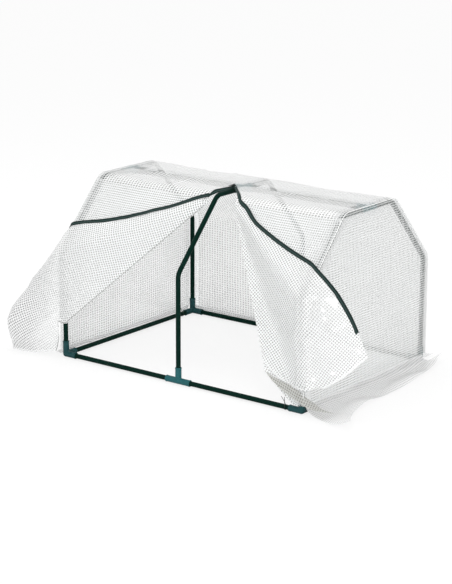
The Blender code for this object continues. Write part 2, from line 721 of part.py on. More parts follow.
def add_end_skirt(name, side, hem, cover):
    """An end's skirt, from the wall's foot out to a hem of places outside the end."""
    count = len(hem)
    wall = COVER_OFFSET
    rear, front = 2 * HALF_DEPTH - 0.004, 0.004
    tops = [beside(side, wall, back, SKIRT_TOP) for back in steps(rear, front, count - 1)]
    knee = [beside(side, wall + 0.006, back, SKIRT_TOP * 0.5) for back in steps(rear, front, count - 1)]
    hems = [beside(side, *place) for place in hem]
    high = rippled(count, 0.012, 2.5, 1.0)
    near = [a.lerp(b, 0.35) for a, b in zip(knee, hems)]
    for point, h in zip(near, high):
        point.z = LYING + 0.002 + 0.4 * h
    far = [a.lerp(b, 0.75) for a, b in zip(knee, hems)]
    for point, b, h in zip(far, hems, high):
        point.z = LYING + 0.4 * (b.z - LYING) + h
    add_cloth(name, [tops, knee, near, far, hems], 7, 2 * (count - 1), cover)


def add_front_skirt(cover):
    """The front's lower hem on the right, lapped over the wall's foot and curled out past the corner."""
    lap = COVER_OFFSET + CLOTH + 2 * GAP
    fold = Vector((RIGHT_FOLD_X, -HALF_DEPTH - lap, RIGHT_FOLD_FOOT))
    corner = Vector((HALF_SPAN, -HALF_DEPTH - lap, WALL_FOOT))
    top = [fold.lerp(corner, k) for k in (0, 0.33, 0.67, 1)]
    middle = [beside(1, *place) for place in FRONT_SKIRT_MIDDLE]
    hem = [beside(1, *place) for place in FRONT_SKIRT_HEM]
    add_cloth("front_skirt_right", [top, middle, hem], 6, 10, cover)


# Zip

def add_flap_tape(name, rows, axis):
    """Half of the zip, along a flap's free edge from its upper corner down to where the zip ends."""
    points, before = [], SLOPE_NORMAL
    for down in [0.01] + [k / FLAP_STEPS for k in range(1, ZIP_STEPS + 1)]:
        edge = cloth_point(rows, down, 1)
        along = cloth_point(rows, down + 0.01, 1) - edge
        inward = (cloth_point(rows, down, 0.96) - edge).normalized()
        side = along.cross(inward).normalized()
        side = side if side.dot(before) > 0 else -side
        before = side
        points.append([edge + side * TAPE_LIFT, edge + inward * TAPE_WIDTH + side * TAPE_LIFT])
    add_grid(name, points, DARK_TAPE, axis)


def add_roof_tape(name, line, side, top, foot, cover):
    """The zip's stretch over the roof, from its upper end down to a flap's upper corner."""
    places = [Vector((0, -SLIT_TOP, line[-1].z))] + line[::-1][1:]
    reach = places[-1].y - places[0].y
    points = []
    for place in places:
        x = top + (foot - top) * (place.y - places[0].y) / reach
        points.append([Vector((x - side * TAPE_IN, place.y, place.z)),
                       Vector((x - side * TAPE_IN + side * TAPE_WIDTH, place.y, place.z))])
    add_grid(name, points, DARK_TAPE, cover)


def add_roof_tapes(cover):
    offset = COVER_OFFSET + TAPE_LIFT
    line = section(offset, WALL_FOOT)[BEND_STEPS + 2 : 2 * BEND_STEPS + 4]
    line[-1] = Vector((0, -SLIT_TOP, TOP_Z + offset))
    add_roof_tape("zip_tape_roof_left", line, -1, -SLIT_HALF, -LEFT_APEX, cover)
    add_roof_tape("zip_tape_roof_right", line, 1, SLIT_HALF, SLIT_OPEN, cover)


def add_slider(cover):
    """The slider, parked at the zip's upper end, with the bridge that its pull hangs on."""
    wide, long, high = SLIDER
    foot = TOP_Z + COVER_OFFSET + TAPE_LIFT + CLOTH / 2 + GAP
    top = foot + high
    place = Vector((0, -SLIT_TOP - long / 2, 0))
    slider_axis = add_axis("zip_slide", place + Vector((0, 0, foot)))
    slider_axis.parent = cover
    box = add_box("zip_slider_box", place + Vector((-wide / 2, -long / 2, foot)),
                  place + Vector((wide / 2, long / 2, top)), CUTTERS)
    body = add_part("zip_slider", box.data, DARK_METAL)
    body.location = box.location
    bpy.data.objects.remove(box)
    edge = body.modifiers.new("Rounded", "BEVEL")
    edge.width = 0.0012
    edge.segments = 2
    reach = BRIDGE_LENGTH / 2
    bridge = add_box("zip_bridge", place + Vector((-BRIDGE_WIDTH / 2, -reach, top - high / 4)),
                     place + Vector((BRIDGE_WIDTH / 2, reach, top + BRIDGE_HEIGHT)), CUTTERS)
    inner = reach - BRIDGE_BAR
    tunnel = add_box("zip_tunnel", place + Vector((-wide, -inner, top)),
                     place + Vector((wide, inner, top + BRIDGE_HEIGHT - BRIDGE_BAR)), CUTTERS)
    boolean(body, bridge, "UNION")
    boolean(body, tunnel, "DIFFERENCE")
    body.parent = slider_axis
    body.matrix_parent_inverse.translation = -slider_axis.location
    pivot = place + Vector((0, 0, top + PULL_LIFT))
    pull_axis = add_axis("zip_pull_pivot", pivot - slider_axis.location)
    pull_axis.parent = slider_axis
    add_pull(pull_axis, pivot)


def add_pull(axis, pivot):
    half = PULL_THICKNESS / 2
    bar = PULL_CROSSBAR / 2
    plate = add_box("zip_pull_plate", pivot + Vector((-PULL_WIDTH / 2, -PULL_LENGTH, -half)),
                    pivot + Vector((PULL_WIDTH / 2, bar, half)), CUTTERS)
    pull = add_part("zip_pull", plate.data, DARK_METAL)
    pull.location = plate.location
    bpy.data.objects.remove(plate)
    across, along = PULL_WINDOW
    window = add_box("zip_pull_window", pivot + Vector((-across / 2, -bar - along, -0.01)),
                     pivot + Vector((across / 2, -bar, 0.01)), CUTTERS)
    boolean(pull, window, "DIFFERENCE")
    pull.parent = axis
    pull.matrix_parent_inverse.translation = -pivot


# Ties

def add_tie(name, foot, along, outward, top):
    """A thin tie from the cover, down round a rail and back up beside itself."""
    foot, along, outward = Vector(foot), Vector(along), Vector(outward)
    up = Vector((0, 0, 1))
    ring = TUBE_RADIUS + GAP + TIE_RADIUS
    held = COVER_OFFSET - CLOTH / 2 - GAP - TIE_RADIUS
    route = [outward * held + up * (top - RAIL_Z), outward * (ring + 0.0004) + up * 0.006]
    turn = [math.radians(-30 * k) for k in range(7)]
    route += [
        outward * (ring * math.cos(a)) + up * (ring * math.sin(a)) + along * (TIE_APART * k / 12)
        for k, a in enumerate(turn)
    ]
    route += [
        -outward * (ring * 0.75) + up * (ring * 0.95) + along * (TIE_APART * 0.75),
        outward * held + up * (top - RAIL_Z) + along * TIE_APART,
    ]
    curve = bpy.data.curves.new(name, "CURVE")
    curve.dimensions = "3D"
    curve.bevel_depth = TIE_RADIUS
    curve.bevel_resolution = 1
    curve.use_fill_caps = True
    line = curve.splines.new("POLY")
    places = [spline(route, k / TIE_POINTS) + foot for k in range(TIE_POINTS + 1)]
    line.points.add(len(places) - 1)
    for point, place in zip(line.points, places):
        point.co = (*place, 1)
    add_part(name, curve, DARK_CORD)


def add_ties():
    inner = HALF_SPAN - TIE_IN
    add_tie("front_right_tie", (inner, -HALF_DEPTH, RAIL_Z), (-1, 0, 0), (0, -1, 0), RIGHT_TIE_TOP)
    add_tie("rear_left_tie", (-HALF_SPAN, HALF_DEPTH - TIE_IN, RAIL_Z), (0, -1, 0), (-1, 0, 0), LEFT_TIE_TOP)


# Start

clear_scene()
PARTS = new_collection("Mini greenhouse", True)
CUTTERS = new_collection("Cutters", False)
add_rails()
add_hoops()
add_connectors()
COVER = add_axis("cover_lift", (0, 0, 0))
add_main_panel(COVER)
add_end_panels(COVER)
add_piping(COVER)
add_fixed_fronts(COVER)
LEFT_ROWS = left_flap_rows(fold_line(left_fan(COVER_OFFSET + FLAP_SEAT, (0, 1), (1,))))
RIGHT_ROWS = right_flap_rows(fold_line(right_fan(COVER_OFFSET + FLAP_SEAT, (0, 1), (1,)), RIGHT_FLAP_FOOT))
# each flap turns about a line midway between its fold and the cloth under it
LEFT_FOLD = fold_line(left_fan(COVER_OFFSET + FLAP_SEAT / 2, (0, 1), (1,)))
RIGHT_FOLD = fold_line(right_fan(COVER_OFFSET + FLAP_SEAT / 2, (0, 1), (1,)))
LEFT_AXIS = add_flap("left_flap", LEFT_ROWS, LEFT_FOLD[0], COVER, 14)
RIGHT_AXIS = add_flap("right_flap", RIGHT_ROWS, RIGHT_FOLD[0], COVER, 16)
add_flap_tape("left_flap_tape", LEFT_ROWS, LEFT_AXIS)
add_flap_tape("right_flap_tape", RIGHT_ROWS, RIGHT_AXIS)
add_rear_skirt(COVER)
add_end_skirt("right_skirt", 1, RIGHT_HEM, COVER)
add_end_skirt("left_skirt", -1, LEFT_HEM, COVER)
add_front_skirt(COVER)
add_roof_tapes(COVER)
add_slider(COVER)
add_ties()
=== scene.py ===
# %% [markdown]
# # Dressing a mini greenhouse
# The object is a low frame of green steel tubes in teal plastic connectors, under a cover of clear film
# with a white net of threads in it. A zip parts the front, and its two halves are folded open to the sides.
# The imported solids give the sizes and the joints. This script gives each piece its looks.

# %% Load the frame
import math

import bmesh
import bpy
from mathutils import Matrix, Vector, noise


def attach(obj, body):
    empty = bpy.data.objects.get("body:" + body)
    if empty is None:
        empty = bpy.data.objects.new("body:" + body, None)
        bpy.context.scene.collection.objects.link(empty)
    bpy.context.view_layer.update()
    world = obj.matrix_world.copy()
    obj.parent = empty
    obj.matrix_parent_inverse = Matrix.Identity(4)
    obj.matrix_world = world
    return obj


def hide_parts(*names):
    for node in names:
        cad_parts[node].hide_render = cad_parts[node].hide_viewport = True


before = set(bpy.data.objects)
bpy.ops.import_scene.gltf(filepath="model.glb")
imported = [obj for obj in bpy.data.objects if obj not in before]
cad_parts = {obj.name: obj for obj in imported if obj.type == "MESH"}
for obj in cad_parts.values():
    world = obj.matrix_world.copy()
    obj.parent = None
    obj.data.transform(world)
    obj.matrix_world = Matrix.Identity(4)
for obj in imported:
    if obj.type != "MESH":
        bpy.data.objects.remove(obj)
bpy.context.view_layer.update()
SCENE = bpy.context.scene

# %% [markdown]
# ## Camera
# The picture was taken with a long lens from the front right, a little above the roof. A camera can be placed
# by eye, but a fit to the corners of the frame is surer: it gives the turn round the object, the height, the
# distance and how far the middle of the picture is off the middle of the object.

# %% Place the camera
AIM = Vector((0, 0, 0.3056))
AZIMUTH, ELEVATION, ROLL = math.radians(37.346), math.radians(15.205), math.radians(0.213)
DISTANCE, LENS, SENSOR, FARTHEST = 6.255, 115.68, 36, 200
SIDEWAYS, UPWARD = 0.0561, 0.0689


def add_object(name, data, look=None):
    """Puts an object in the scene, with its look if it has one."""
    made = bpy.data.objects.new(name, data)
    SCENE.collection.objects.link(made)
    if look:
        data.materials.append(look)
    return made


back = Vector((math.sin(AZIMUTH) * math.cos(ELEVATION), -math.cos(AZIMUTH) * math.cos(ELEVATION), math.sin(ELEVATION)))
level = Vector((math.cos(AZIMUTH), math.sin(AZIMUTH), 0))
above = back.cross(level)
right = level * math.cos(ROLL) + above * math.sin(ROLL)
up = above * math.cos(ROLL) - level * math.sin(ROLL)
axes = Matrix((right, up, back)).transposed()
camera = add_object("camera", bpy.data.cameras.new("camera"))
camera.matrix_world = Matrix.Translation(AIM - right * SIDEWAYS - up * UPWARD + back * DISTANCE) @ axes.to_4x4()
camera.data.lens, camera.data.sensor_width, camera.data.clip_end = LENS, SENSOR, FARTHEST
SCENE.camera = camera
print("camera at", [round(v, 3) for v in camera.location])

# %% [markdown]
# ## Light, floor and backdrop
# A product picture on white has soft light from all round, and no edge to the floor. One wide floor reaches past
# the view, and three quarters of what the camera sees of it is a glow, so that it stays near white while the object
# still shades it.

# %% Floor
FLOOR_HALF, FLOOR_Z, FLOOR_GLOW = 60, -0.0002, 0.75


def new_material(name):
    m = bpy.data.materials.new(name)
    m.use_nodes = True
    m.node_tree.nodes.clear()
    return m


def add_node(m, kind, inputs=(), **settings):
    """A node with its settings. Inputs are given by name or number, each a value or another node's output."""
    node = m.node_tree.nodes.new(kind)
    for key, value in settings.items():
        setattr(node, key, value)
    for key, value in dict(inputs).items():
        if isinstance(value, bpy.types.NodeSocket):
            m.node_tree.links.new(value, node.inputs[key])
        else:
            node.inputs[key].default_value = value
    return node


def add_math(m, operation, a, b=0.0):
    return add_node(m, "ShaderNodeMath", {0: a, 1: b}, operation=operation).outputs[0]


def new_mesh(name, places, faces):
    mesh = bpy.data.meshes.new(name)
    mesh.from_pydata([tuple(p) for p in places], [], faces)
    mesh.update()
    return mesh


floor_look = new_material("floor_paper")
paper = add_node(floor_look, "ShaderNodeBsdfDiffuse", {"Color": (0.9, 0.9, 0.9, 1)})
glow = add_node(floor_look, "ShaderNodeEmission", {"Color": (1, 1, 1, 1), "Strength": 1.0})
path = add_node(floor_look, "ShaderNodeLightPath")
share = add_math(floor_look, "MULTIPLY", path.outputs["Is Camera Ray"], FLOOR_GLOW)
both = add_node(floor_look, "ShaderNodeMixShader", {0: share, 1: paper.outputs[0], 2: glow.outputs[0]})
add_node(floor_look, "ShaderNodeOutputMaterial", {"Surface": both.outputs[0]})
corners = [(x * FLOOR_HALF, y * FLOOR_HALF, FLOOR_Z) for x, y in ((-1, -1), (1, -1), (1, 1), (-1, 1))]
floor = add_object("floor", new_mesh("floor", corners, [(0, 1, 2, 3)]), floor_look)
print("the floor is", 2 * FLOOR_HALF, "m wide")

# %% [markdown]
# The world gives the soft light, and to the camera it is a little brighter and so quite white. Four soft lamps give
# the sheen on the cloth and the tubes.

# %% Sky and lamps
SKY_LIGHT, SKY_SEEN = 0.97, 1.0

world = bpy.data.worlds.new("studio")
world.use_nodes = True
SCENE.world = world
sky = world.node_tree.nodes["Background"]
sky.inputs["Color"].default_value = (1, 1, 1, 1)
seen = add_node(world, "ShaderNodeLightPath").outputs["Is Camera Ray"]
lit = add_node(world, "ShaderNodeMapRange", {"Value": seen, "To Min": SKY_LIGHT, "To Max": SKY_SEEN})
world.node_tree.links.new(lit.outputs[0], sky.inputs["Strength"])


def add_lamp(name, place, size, power):
    """A square soft lamp that faces the middle of the greenhouse."""
    lamp = add_object(name, bpy.data.lights.new(name, "AREA"))
    lamp.data.size = size
    lamp.data.energy = power
    lamp.location = place
    lamp.rotation_euler = (Vector(place) - AIM).to_track_quat("Z", "Y").to_euler()


add_lamp("right_lamp", (2.6, -3.6, 2.4), 1.5, 32)
add_lamp("side_lamp", (4.0, -2.4, 0.6), 0.5, 25)
add_lamp("low_lamp", (0.9, -4.5, 0.9), 1.4, 11)
add_lamp("top_lamp", (-0.8, 0.2, 3.7), 2.4, 40)
SCENE.view_settings.view_transform = "Standard"
SCENE.cycles.transparent_max_bounces = 24

# %% [markdown]
# ## Sizes
# The cover is drawn over the same lines as the solids, so the script states those sizes again, in metres:
# the hoops' centrelines, the tubes, and where the cloth passes them.

# %% Sizes of the frame and the cover
SPAN, DEPTH = 0.974, 0.688
SHOULDER_Z, TOP_Z, TOP_WIDTH = 0.365, 0.589, 0.279
BEND_RADIUS, BEND_STEPS, TUBE_BEND_STEPS, PANEL_BEND_STEPS = 0.040, 4, 14, 10
TUBE_RADIUS, CONNECTOR_RADIUS = 0.008, 0.011
SOCKET_CLEARANCE, SOCKET_REACH, TEE_REACH, RIDGE_REACH = 0.0003, 0.046, 0.050, 0.040
TUBE_STOP, FOOT_FLAT = 0.014, 0.0006
CLOTH, GAP = 0.0012, 0.0003
WALL_FOOT, REACH_X, REACH_Y = 0.030, 0.715, 0.440
SLIT_TOP, SLIT_HALF, SLIT_OPEN, LEFT_APEX = 0.045, 0.004, 0.092, 0.014
RAIL_Z = CONNECTOR_RADIUS - FOOT_FLAT
COVER_OFFSET = CONNECTOR_RADIUS + GAP + CLOTH / 2
COVER_EDGE = COVER_OFFSET + CLOTH / 2
HALF_SPAN, HALF_DEPTH, HALF_TOP = SPAN / 2, DEPTH / 2, TOP_WIDTH / 2
HOOP_SIDE = HALF_SPAN - COVER_OFFSET
SLANT = Vector((0, -(HALF_DEPTH - HALF_TOP), SHOULDER_Z - TOP_Z))
SLOPE_NORMAL = Vector((0, SLANT.z, -SLANT.y)).normalized()
TOP_TURN = math.atan2(-SLANT.z, -SLANT.y)
BEND_SHARE = (BEND_RADIUS + COVER_OFFSET) * math.tan(TOP_TURN / 2) / SLANT.length
SKIRT_TOP, LYING = WALL_FOOT - GAP, GAP + CLOTH / 2
SIDES = (("left", -1), ("right", 1))
print("frame", round(SPAN + 2 * CONNECTOR_RADIUS, 3), "by", round(DEPTH + 2 * CONNECTOR_RADIUS, 3))

# %% [markdown]
# ## The line of a hoop
# Each hoop is a post, a slant and half of the flat top, with a bend at each corner. The line is three straight
# stretches with their corners rounded, and the same line moved outward is where the cover lies.

# %% The hoop's line, rounded at its bends
def filleted(corners, radius, count):
    """The line through the corners, each rounded in a number of steps."""
    points = [corners[0]]
    for before, corner, after in zip(corners, corners[1:], corners[2:]):
        into, out = (corner - before).normalized(), (after - corner).normalized()
        turn = into.angle(out)
        reach = radius * math.tan(turn / 2)
        centre = corner + (out - into).normalized() * (radius / math.cos(turn / 2))
        arm, side = corner - into * reach - centre, into * radius
        for angle in (turn * k / count for k in range(count + 1)):
            points.append(centre + arm * math.cos(angle) + side * math.sin(angle))
    return points + [corners[-1]]


def section_corners(offset, foot):
    """The front foot, shoulder and top corner, then the rear ones, at an offset outside the centrelines."""
    upward, flat, slant = Vector((0, 0, 1)), Vector((0, 1, 0)), -SLANT.normalized()
    corners = [Vector((0, -HALF_DEPTH - offset, foot))]
    for corner, into, out in (((0, -HALF_DEPTH, SHOULDER_Z), upward, slant), ((0, -HALF_TOP, TOP_Z), slant, flat)):
        corners.append(Vector(corner) + (into - out).normalized() * (offset / math.cos(into.angle(out) / 2)))
    return corners + [Vector((0, -p.y, p.z)) for p in reversed(corners)]


def section(offset, foot, count=BEND_STEPS):
    return filleted(section_corners(offset, foot), BEND_RADIUS + offset, count)


def slope_point(x, down, lift):
    """On the front slope: a share of the way down the slant, off the centreline's plane by the lift."""
    return Vector((x, -HALF_TOP, TOP_Z)) + SLANT * down + SLOPE_NORMAL * lift


print("a hoop's line has", len(section(0, RAIL_Z)), "places")
print("its slants lie at", round(math.degrees(TOP_TURN)), "degrees")

# %% [markdown]
# ## Powder-coated steel
# The tubes are bent steel with a baked dark green coat. Such a coat is smooth but not mirror-like, with a faint
# orange-peel texture, and it is scuffed where the tubes rub. Noise makes the texture and the scuffs, so it
# needs no image, and the place in the object drives it, so it has the same scale on every tube. A few helpers
# come first, for what every look is made of: noise, a soft step, a blend of two colours and a bump.

# %% Helpers for looks
def add_noise(m, place, scale, detail=3.0, rough=0.55):
    inputs = {"Vector": place, "Scale": scale, "Detail": detail, "Roughness": rough}
    return add_node(m, "ShaderNodeTexNoise", inputs).outputs["Fac"]


def add_span(m, value, low, high, to_low=0.0, to_high=1.0):
    """Turns a value between low and high into one between to_low and to_high, with soft ends."""
    inputs = {"Value": value, "From Min": low, "From Max": high, "To Min": to_low, "To Max": to_high}
    return add_node(m, "ShaderNodeMapRange", inputs, interpolation_type="SMOOTHSTEP").outputs[0]


def add_blend(m, factor, first, second):
    """A colour between two colours."""
    first, second = [(*colour, 1) if isinstance(colour, tuple) else colour for colour in (first, second)]
    return add_node(m, "ShaderNodeMix", {0: factor, 6: first, 7: second}, data_type="RGBA").outputs[2]


def add_bump(m, height, distance, strength):
    inputs = {"Height": height, "Distance": distance, "Strength": strength}
    return add_node(m, "ShaderNodeBump", inputs).outputs["Normal"]


def add_shader(m, **inputs):
    named = {key.replace("_", " "): value for key, value in inputs.items()}
    shader = add_node(m, "ShaderNodeBsdfPrincipled", named)
    add_node(m, "ShaderNodeOutputMaterial", {"Surface": shader.outputs[0]})
    return m


def place_in_object(m):
    return add_node(m, "ShaderNodeTexCoord").outputs["Object"]

# %% [markdown]
# The coat's colour and gloss drift a little in soft clouds. The scuffs are small bright grains, and a second, larger
# noise keeps them to some places.

# %% Steel look
def green_steel():
    m = new_material("green_powder_coat")
    place = place_in_object(m)
    cloudy = add_noise(m, place, 14)
    scuffs = add_span(m, add_noise(m, place, 160, 5, 0.7), 0.66, 0.72)
    rubbed = add_math(m, "MULTIPLY", scuffs, add_span(m, add_noise(m, place, 9), 0.52, 0.62))
    coat = add_blend(m, cloudy, (0.001, 0.012, 0.008), (0.002, 0.020, 0.014))
    colour = add_blend(m, rubbed, coat, (0.16, 0.20, 0.15))
    peel = add_noise(m, place, 900, 2)
    return add_shader(
        m, Base_Color=colour, Roughness=add_span(m, cloudy, 0.3, 0.7, 0.30, 0.42),
        Specular_IOR_Level=0.035, Normal=add_bump(m, peel, 0.00025, 0.35),
    )


STEEL = green_steel()
print("made", STEEL.name)

# %% [markdown]
# ## Tubes
# A tube is a curve with a round bevel: the curve keeps the bends true and the wall even. The solids are bent in
# few steps, so each tube is drawn again with 14 steps to a bend and 32 sides, on the same centreline.

# %% Rods and pieces
def add_rod(name, places, radius, sides, look):
    """A round rod along a line of places."""
    curve = bpy.data.curves.new(name, "CURVE")
    curve.dimensions = "3D"
    curve.bevel_depth = radius
    curve.bevel_resolution = (sides - 4) // 2
    curve.use_fill_caps = True
    line = curve.splines.new("POLY")
    line.points.add(len(places) - 1)
    for point, place in zip(line.points, places):
        point.co = (*place, 1)
    line.use_smooth = True
    return add_object(name, curve, look)


def set_piece(piece, body, slot, *nodes):
    if nodes:
        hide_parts(*nodes)
    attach(piece, body)


def add_tube(node, places, name=None):
    set_piece(add_rod(name or f"{node}_tube", places, TUBE_RADIUS, 32, STEEL), "frame", "tube", node)


def runs_of(line):
    """How far each place is along a line."""
    runs = [0.0]
    for a, b in zip(line, line[1:]):
        runs.append(runs[-1] + (b - a).length)
    return runs

# %% [markdown]
# The rails and the ridge tubes are straight, and each end stands just off the stop in its socket. A hoop is two
# bent halves that meet in the ridge's connector.

# %% Tubes on their centrelines
END = TUBE_STOP + GAP
for side, y in (("front", -HALF_DEPTH), ("rear", HALF_DEPTH)):
    add_tube(f"{side}_rail_left", [(-HALF_SPAN + END, y, RAIL_Z), (-END, y, RAIL_Z)])
    add_tube(f"{side}_rail_right", [(END, y, RAIL_Z), (HALF_SPAN - END, y, RAIL_Z)])
for side, x in (("left", -HALF_SPAN), ("right", HALF_SPAN)):
    inner = -math.copysign(END, x)
    add_tube(f"{side}_end_rail", [(x, -HALF_DEPTH + END, RAIL_Z), (x, HALF_DEPTH - END, RAIL_Z)])
    add_tube(f"{side}_ridge_tube", [(x + inner, 0, TOP_Z), (-inner, 0, TOP_Z)], f"{side}_ridge_pole")
corners = section_corners(0, RAIL_Z + END)[:3] + [Vector((0, -END, TOP_Z))]
bent = filleted(corners, BEND_RADIUS, TUBE_BEND_STEPS)
for side, x in (("left", -HALF_SPAN), ("centre", 0), ("right", HALF_SPAN)):
    for half, turn in (("front", 1), ("rear", -1)):
        add_tube(f"{side}_hoop_{half}", [(x, turn * p.y, p.z) for p in bent])
print("a hoop's half is", round(runs_of(bent)[-1], 3), "m long")

# %% [markdown]
# ## Moulded connectors
# The connectors are injected plastic, half matt, with a fine grain from the mould. Plastic has no coat that can
# wear off, so one noise that moves the colour and the gloss a little is enough. The corner pieces are the same
# plastic as the tees, drawn a darker teal: painted shade, for the shade their sockets stand in.

# %% Connector look
def teal_plastic(name, low, high):
    m = new_material(name)
    place = place_in_object(m)
    flow = add_noise(m, place, 30)
    colour = add_blend(m, flow, low, high)
    return add_shader(
        m, Base_Color=colour, Roughness=add_span(m, flow, 0.3, 0.7, 0.34, 0.46), Specular_IOR_Level=0.16,
        Normal=add_bump(m, add_noise(m, place, 1400, 2), 0.0002, 0.4),
    )


PLASTIC = teal_plastic("teal_moulded_plastic", (0.010, 0.082, 0.090), (0.018, 0.112, 0.122))
SHADED_CORNER_PLASTIC = teal_plastic("teal_moulded_plastic_painted_shade", (0.006, 0.040, 0.043), (0.012, 0.062, 0.066))
print("made", PLASTIC.name, "and", SHADED_CORNER_PLASTIC.name)

# %% [markdown]
# A connector is one piece: sockets that meet in a rounded hub, each with a thicker lip at its mouth. Cylinders
# joined with a boolean would leave sharp inner corners that no mould has. So the rough shapes are merged by a voxel
# remesh and smoothed. Only then are they bored, and cut flat where they stand, so that these edges stay crisp.

# %% Steps of a connector
HUB_RADIUS, SOCKET_RADIUS, LIP_LENGTH, LIP_BACK, VOXEL = 0.0106, 0.0103, 0.0050, 0.0006, 0.0011


def add_round(shape, start, end, radius):
    """Adds a closed cylinder between two places."""
    along = end - start
    turned = along.to_track_quat("Z", "Y").to_matrix().to_4x4()
    bmesh.ops.create_cone(
        shape, cap_ends=True, segments=32, radius1=radius, radius2=radius, depth=along.length,
        matrix=Matrix.Translation((start + end) / 2) @ turned,
    )


def as_object(name, shape):
    mesh = bpy.data.meshes.new(name)
    shape.to_mesh(mesh)
    shape.free()
    return add_object(name, mesh)


def apply_step(obj, kind, **settings):
    """Puts a modifier on an object and applies it at once."""
    step = obj.modifiers.new(kind.lower(), kind)
    for key, value in settings.items():
        setattr(step, key, value)
    with bpy.context.temp_override(object=obj, active_object=obj, selected_objects=[obj]):
        bpy.ops.object.modifier_apply(modifier=step.name)


def cut_away(obj, cutter):
    apply_step(obj, "BOOLEAN", operation="DIFFERENCE", solver="EXACT", object=cutter)
    bpy.data.objects.remove(cutter)


print("rough shapes are merged in cells of", round(1000 * VOXEL, 1), "mm")

# %% [markdown]
# A connector is known by its hub and its sockets' directions. The corners stand on the ground with three sockets,
# the tees join a rail or the ridge to a hoop, and the cross joins both ridge tubes to the middle hoop.

# %% Connectors
def add_connector(node, hub, arms, stands):
    """A connector at a hub, with the reach of its socket in each direction. Those that stand are flat below."""
    hub = Vector(hub)
    arms = [(Vector(direction), reach) for direction, reach in arms.items()]
    shape = bmesh.new()
    middle = Matrix.Translation(hub)
    bmesh.ops.create_uvsphere(shape, u_segments=24, v_segments=16, radius=HUB_RADIUS, matrix=middle)
    for direction, reach in arms:
        mouth = hub + direction * (reach - LIP_BACK)
        add_round(shape, hub, mouth, SOCKET_RADIUS)
        add_round(shape, mouth - direction * LIP_LENGTH, mouth, CONNECTOR_RADIUS)
    body = as_object(f"{node}_socket", shape)
    apply_step(body, "REMESH", mode="VOXEL", voxel_size=VOXEL)
    apply_step(body, "SMOOTH", factor=0.5, iterations=3)
    for direction, reach in arms:
        bore = bmesh.new()
        start, end = hub + direction * TUBE_STOP, hub + direction * (reach + TUBE_STOP)
        add_round(bore, start, end, TUBE_RADIUS + SOCKET_CLEARANCE)
        cut_away(body, as_object("bore", bore))
    if stands:
        below = bmesh.new()
        bmesh.ops.create_cube(below, size=0.2, matrix=Matrix.Translation((hub.x, hub.y, -0.1)))
        cut_away(body, as_object("below", below))
    body.data.shade_smooth()
    body.data.materials.clear()
    # Corners get the teal with painted shade: the same plastic, drawn darker for the shade they stand in.
    body.data.materials.append(SHADED_CORNER_PLASTIC if "corner" in node else PLASTIC)
    set_piece(body, "frame", "connector", node)
    return len(body.data.polygons)


faces = 0
for side, y in (("front", -1), ("rear", 1)):
    for end, x in SIDES:
        arms = {(0, 0, 1): SOCKET_REACH, (-x, 0, 0): SOCKET_REACH, (0, -y, 0): SOCKET_REACH}
        faces += add_connector(f"{side}_{end}_corner", (x * HALF_SPAN, y * HALF_DEPTH, RAIL_Z), arms, True)
    arms = {(0, 0, 1): SOCKET_REACH, (1, 0, 0): TEE_REACH, (-1, 0, 0): TEE_REACH}
    faces += add_connector(f"{side}_base_tee", (0, y * HALF_DEPTH, RAIL_Z), arms, True)
RIDGE = (("ridge_tee_left", -HALF_SPAN, (1,)), ("ridge_cross", 0, (1, -1)), ("ridge_tee_right", HALF_SPAN, (-1,)))
for name, x, inner in RIDGE:
    arms = dict.fromkeys([(0, 1, 0), (0, -1, 0)] + [(side, 0, 0) for side in inner], RIDGE_REACH)
    faces += add_connector(name, (x, 0, TOP_Z), arms, False)
print("connectors have", faces, "faces")

# %% [markdown]
# ## Film with a net in it
# The cover is clear film laminated over a net of flat white threads, 8 mm apart on the front and wider on the walls.
# Each sheet keeps a flat pattern of itself in metres, as it would be cut, so the net has its true pitch on every
# fold. A thread is nearly opaque and dull, the film between is glossy and lets most of the light through: one mask
# mixes the colour, the opacity and the roughness, and gives the bump. Threads also glow with the light behind them,
# so they are mixed with a Translucent shader: that is what makes the inside of the real cover so bright. A clear
# coat over both gives the film's sheen.
#
# A second pattern holds a distance. On the flaps and the skirt it is the distance from the hemmed edges, where the
# cloth is doubled and stitched. On the walls and the roof it is the distance from the nearest tube: film that
# touches a tube shows it clearly, and film that stands off it turns milky. A third one holds the distance from
# a flap's fold, and along the left fold a thin grey line of painted shade is drawn. Where that flap hangs past the
# end, the sleeve's far side lies behind it in shade, and that shade is painted in: the film is drawn darker and more
# solid there.

# %% Masks for the cloth
THREAD_SHARE, THREAD_GLOW, THREAD_EDGE, WANDER = 0.42, 0.42, 0.0003, 0.006
CLEAR_ALPHA, ON_TUBE_ALPHA, THREAD_ALPHA, SLEEVE_SHADE_ALPHA, FOLD_ALPHA = 0.10, 0.72, 0.94, 0.86, 0.9
WHITE, BRIGHT = (0.91, 0.92, 0.92), (0.95, 0.955, 0.955)
SLEEVE_SHADE_FILM, FOLD_SHADE = (0.22, 0.22, 0.22), (0.24, 0.24, 0.23)
HEM, STITCH_IN, STITCH_LENGTH = 0.008, 0.0018, 0.0020


def add_pattern(m, name):
    return add_node(m, "ShaderNodeUVMap", uv_map=name).outputs[0]


def add_parts(m, place):
    """The X, Y and Z of a place, or the first two of a flat pattern."""
    return list(add_node(m, "ShaderNodeSeparateXYZ", {0: place}).outputs)


def add_below(m, value, low, high):
    """1 below low, 0 above high."""
    return add_span(m, value, low, high, 1.0, 0.0)


def add_over(m, under, mask, strength):
    """The larger of a value and of a mask at a strength."""
    return add_math(m, "MAXIMUM", under, add_math(m, "MULTIPLY", mask, strength))


def thread_mask(m, coordinate, pitch):
    off, half = add_math(m, "PINGPONG", coordinate, pitch / 2), pitch * THREAD_SHARE / 2
    return add_below(m, off, half - THREAD_EDGE, half + THREAD_EDGE)


print("threads cover", round(1 - (1 - THREAD_SHARE) ** 2, 2), "of the cloth")

# %% [markdown]
# One function makes all the films. The threads of a laminated net never lie quite straight, so a soft noise moves
# them a little. Another one gives the film its haze, and a finer one the small crumples in its gloss.

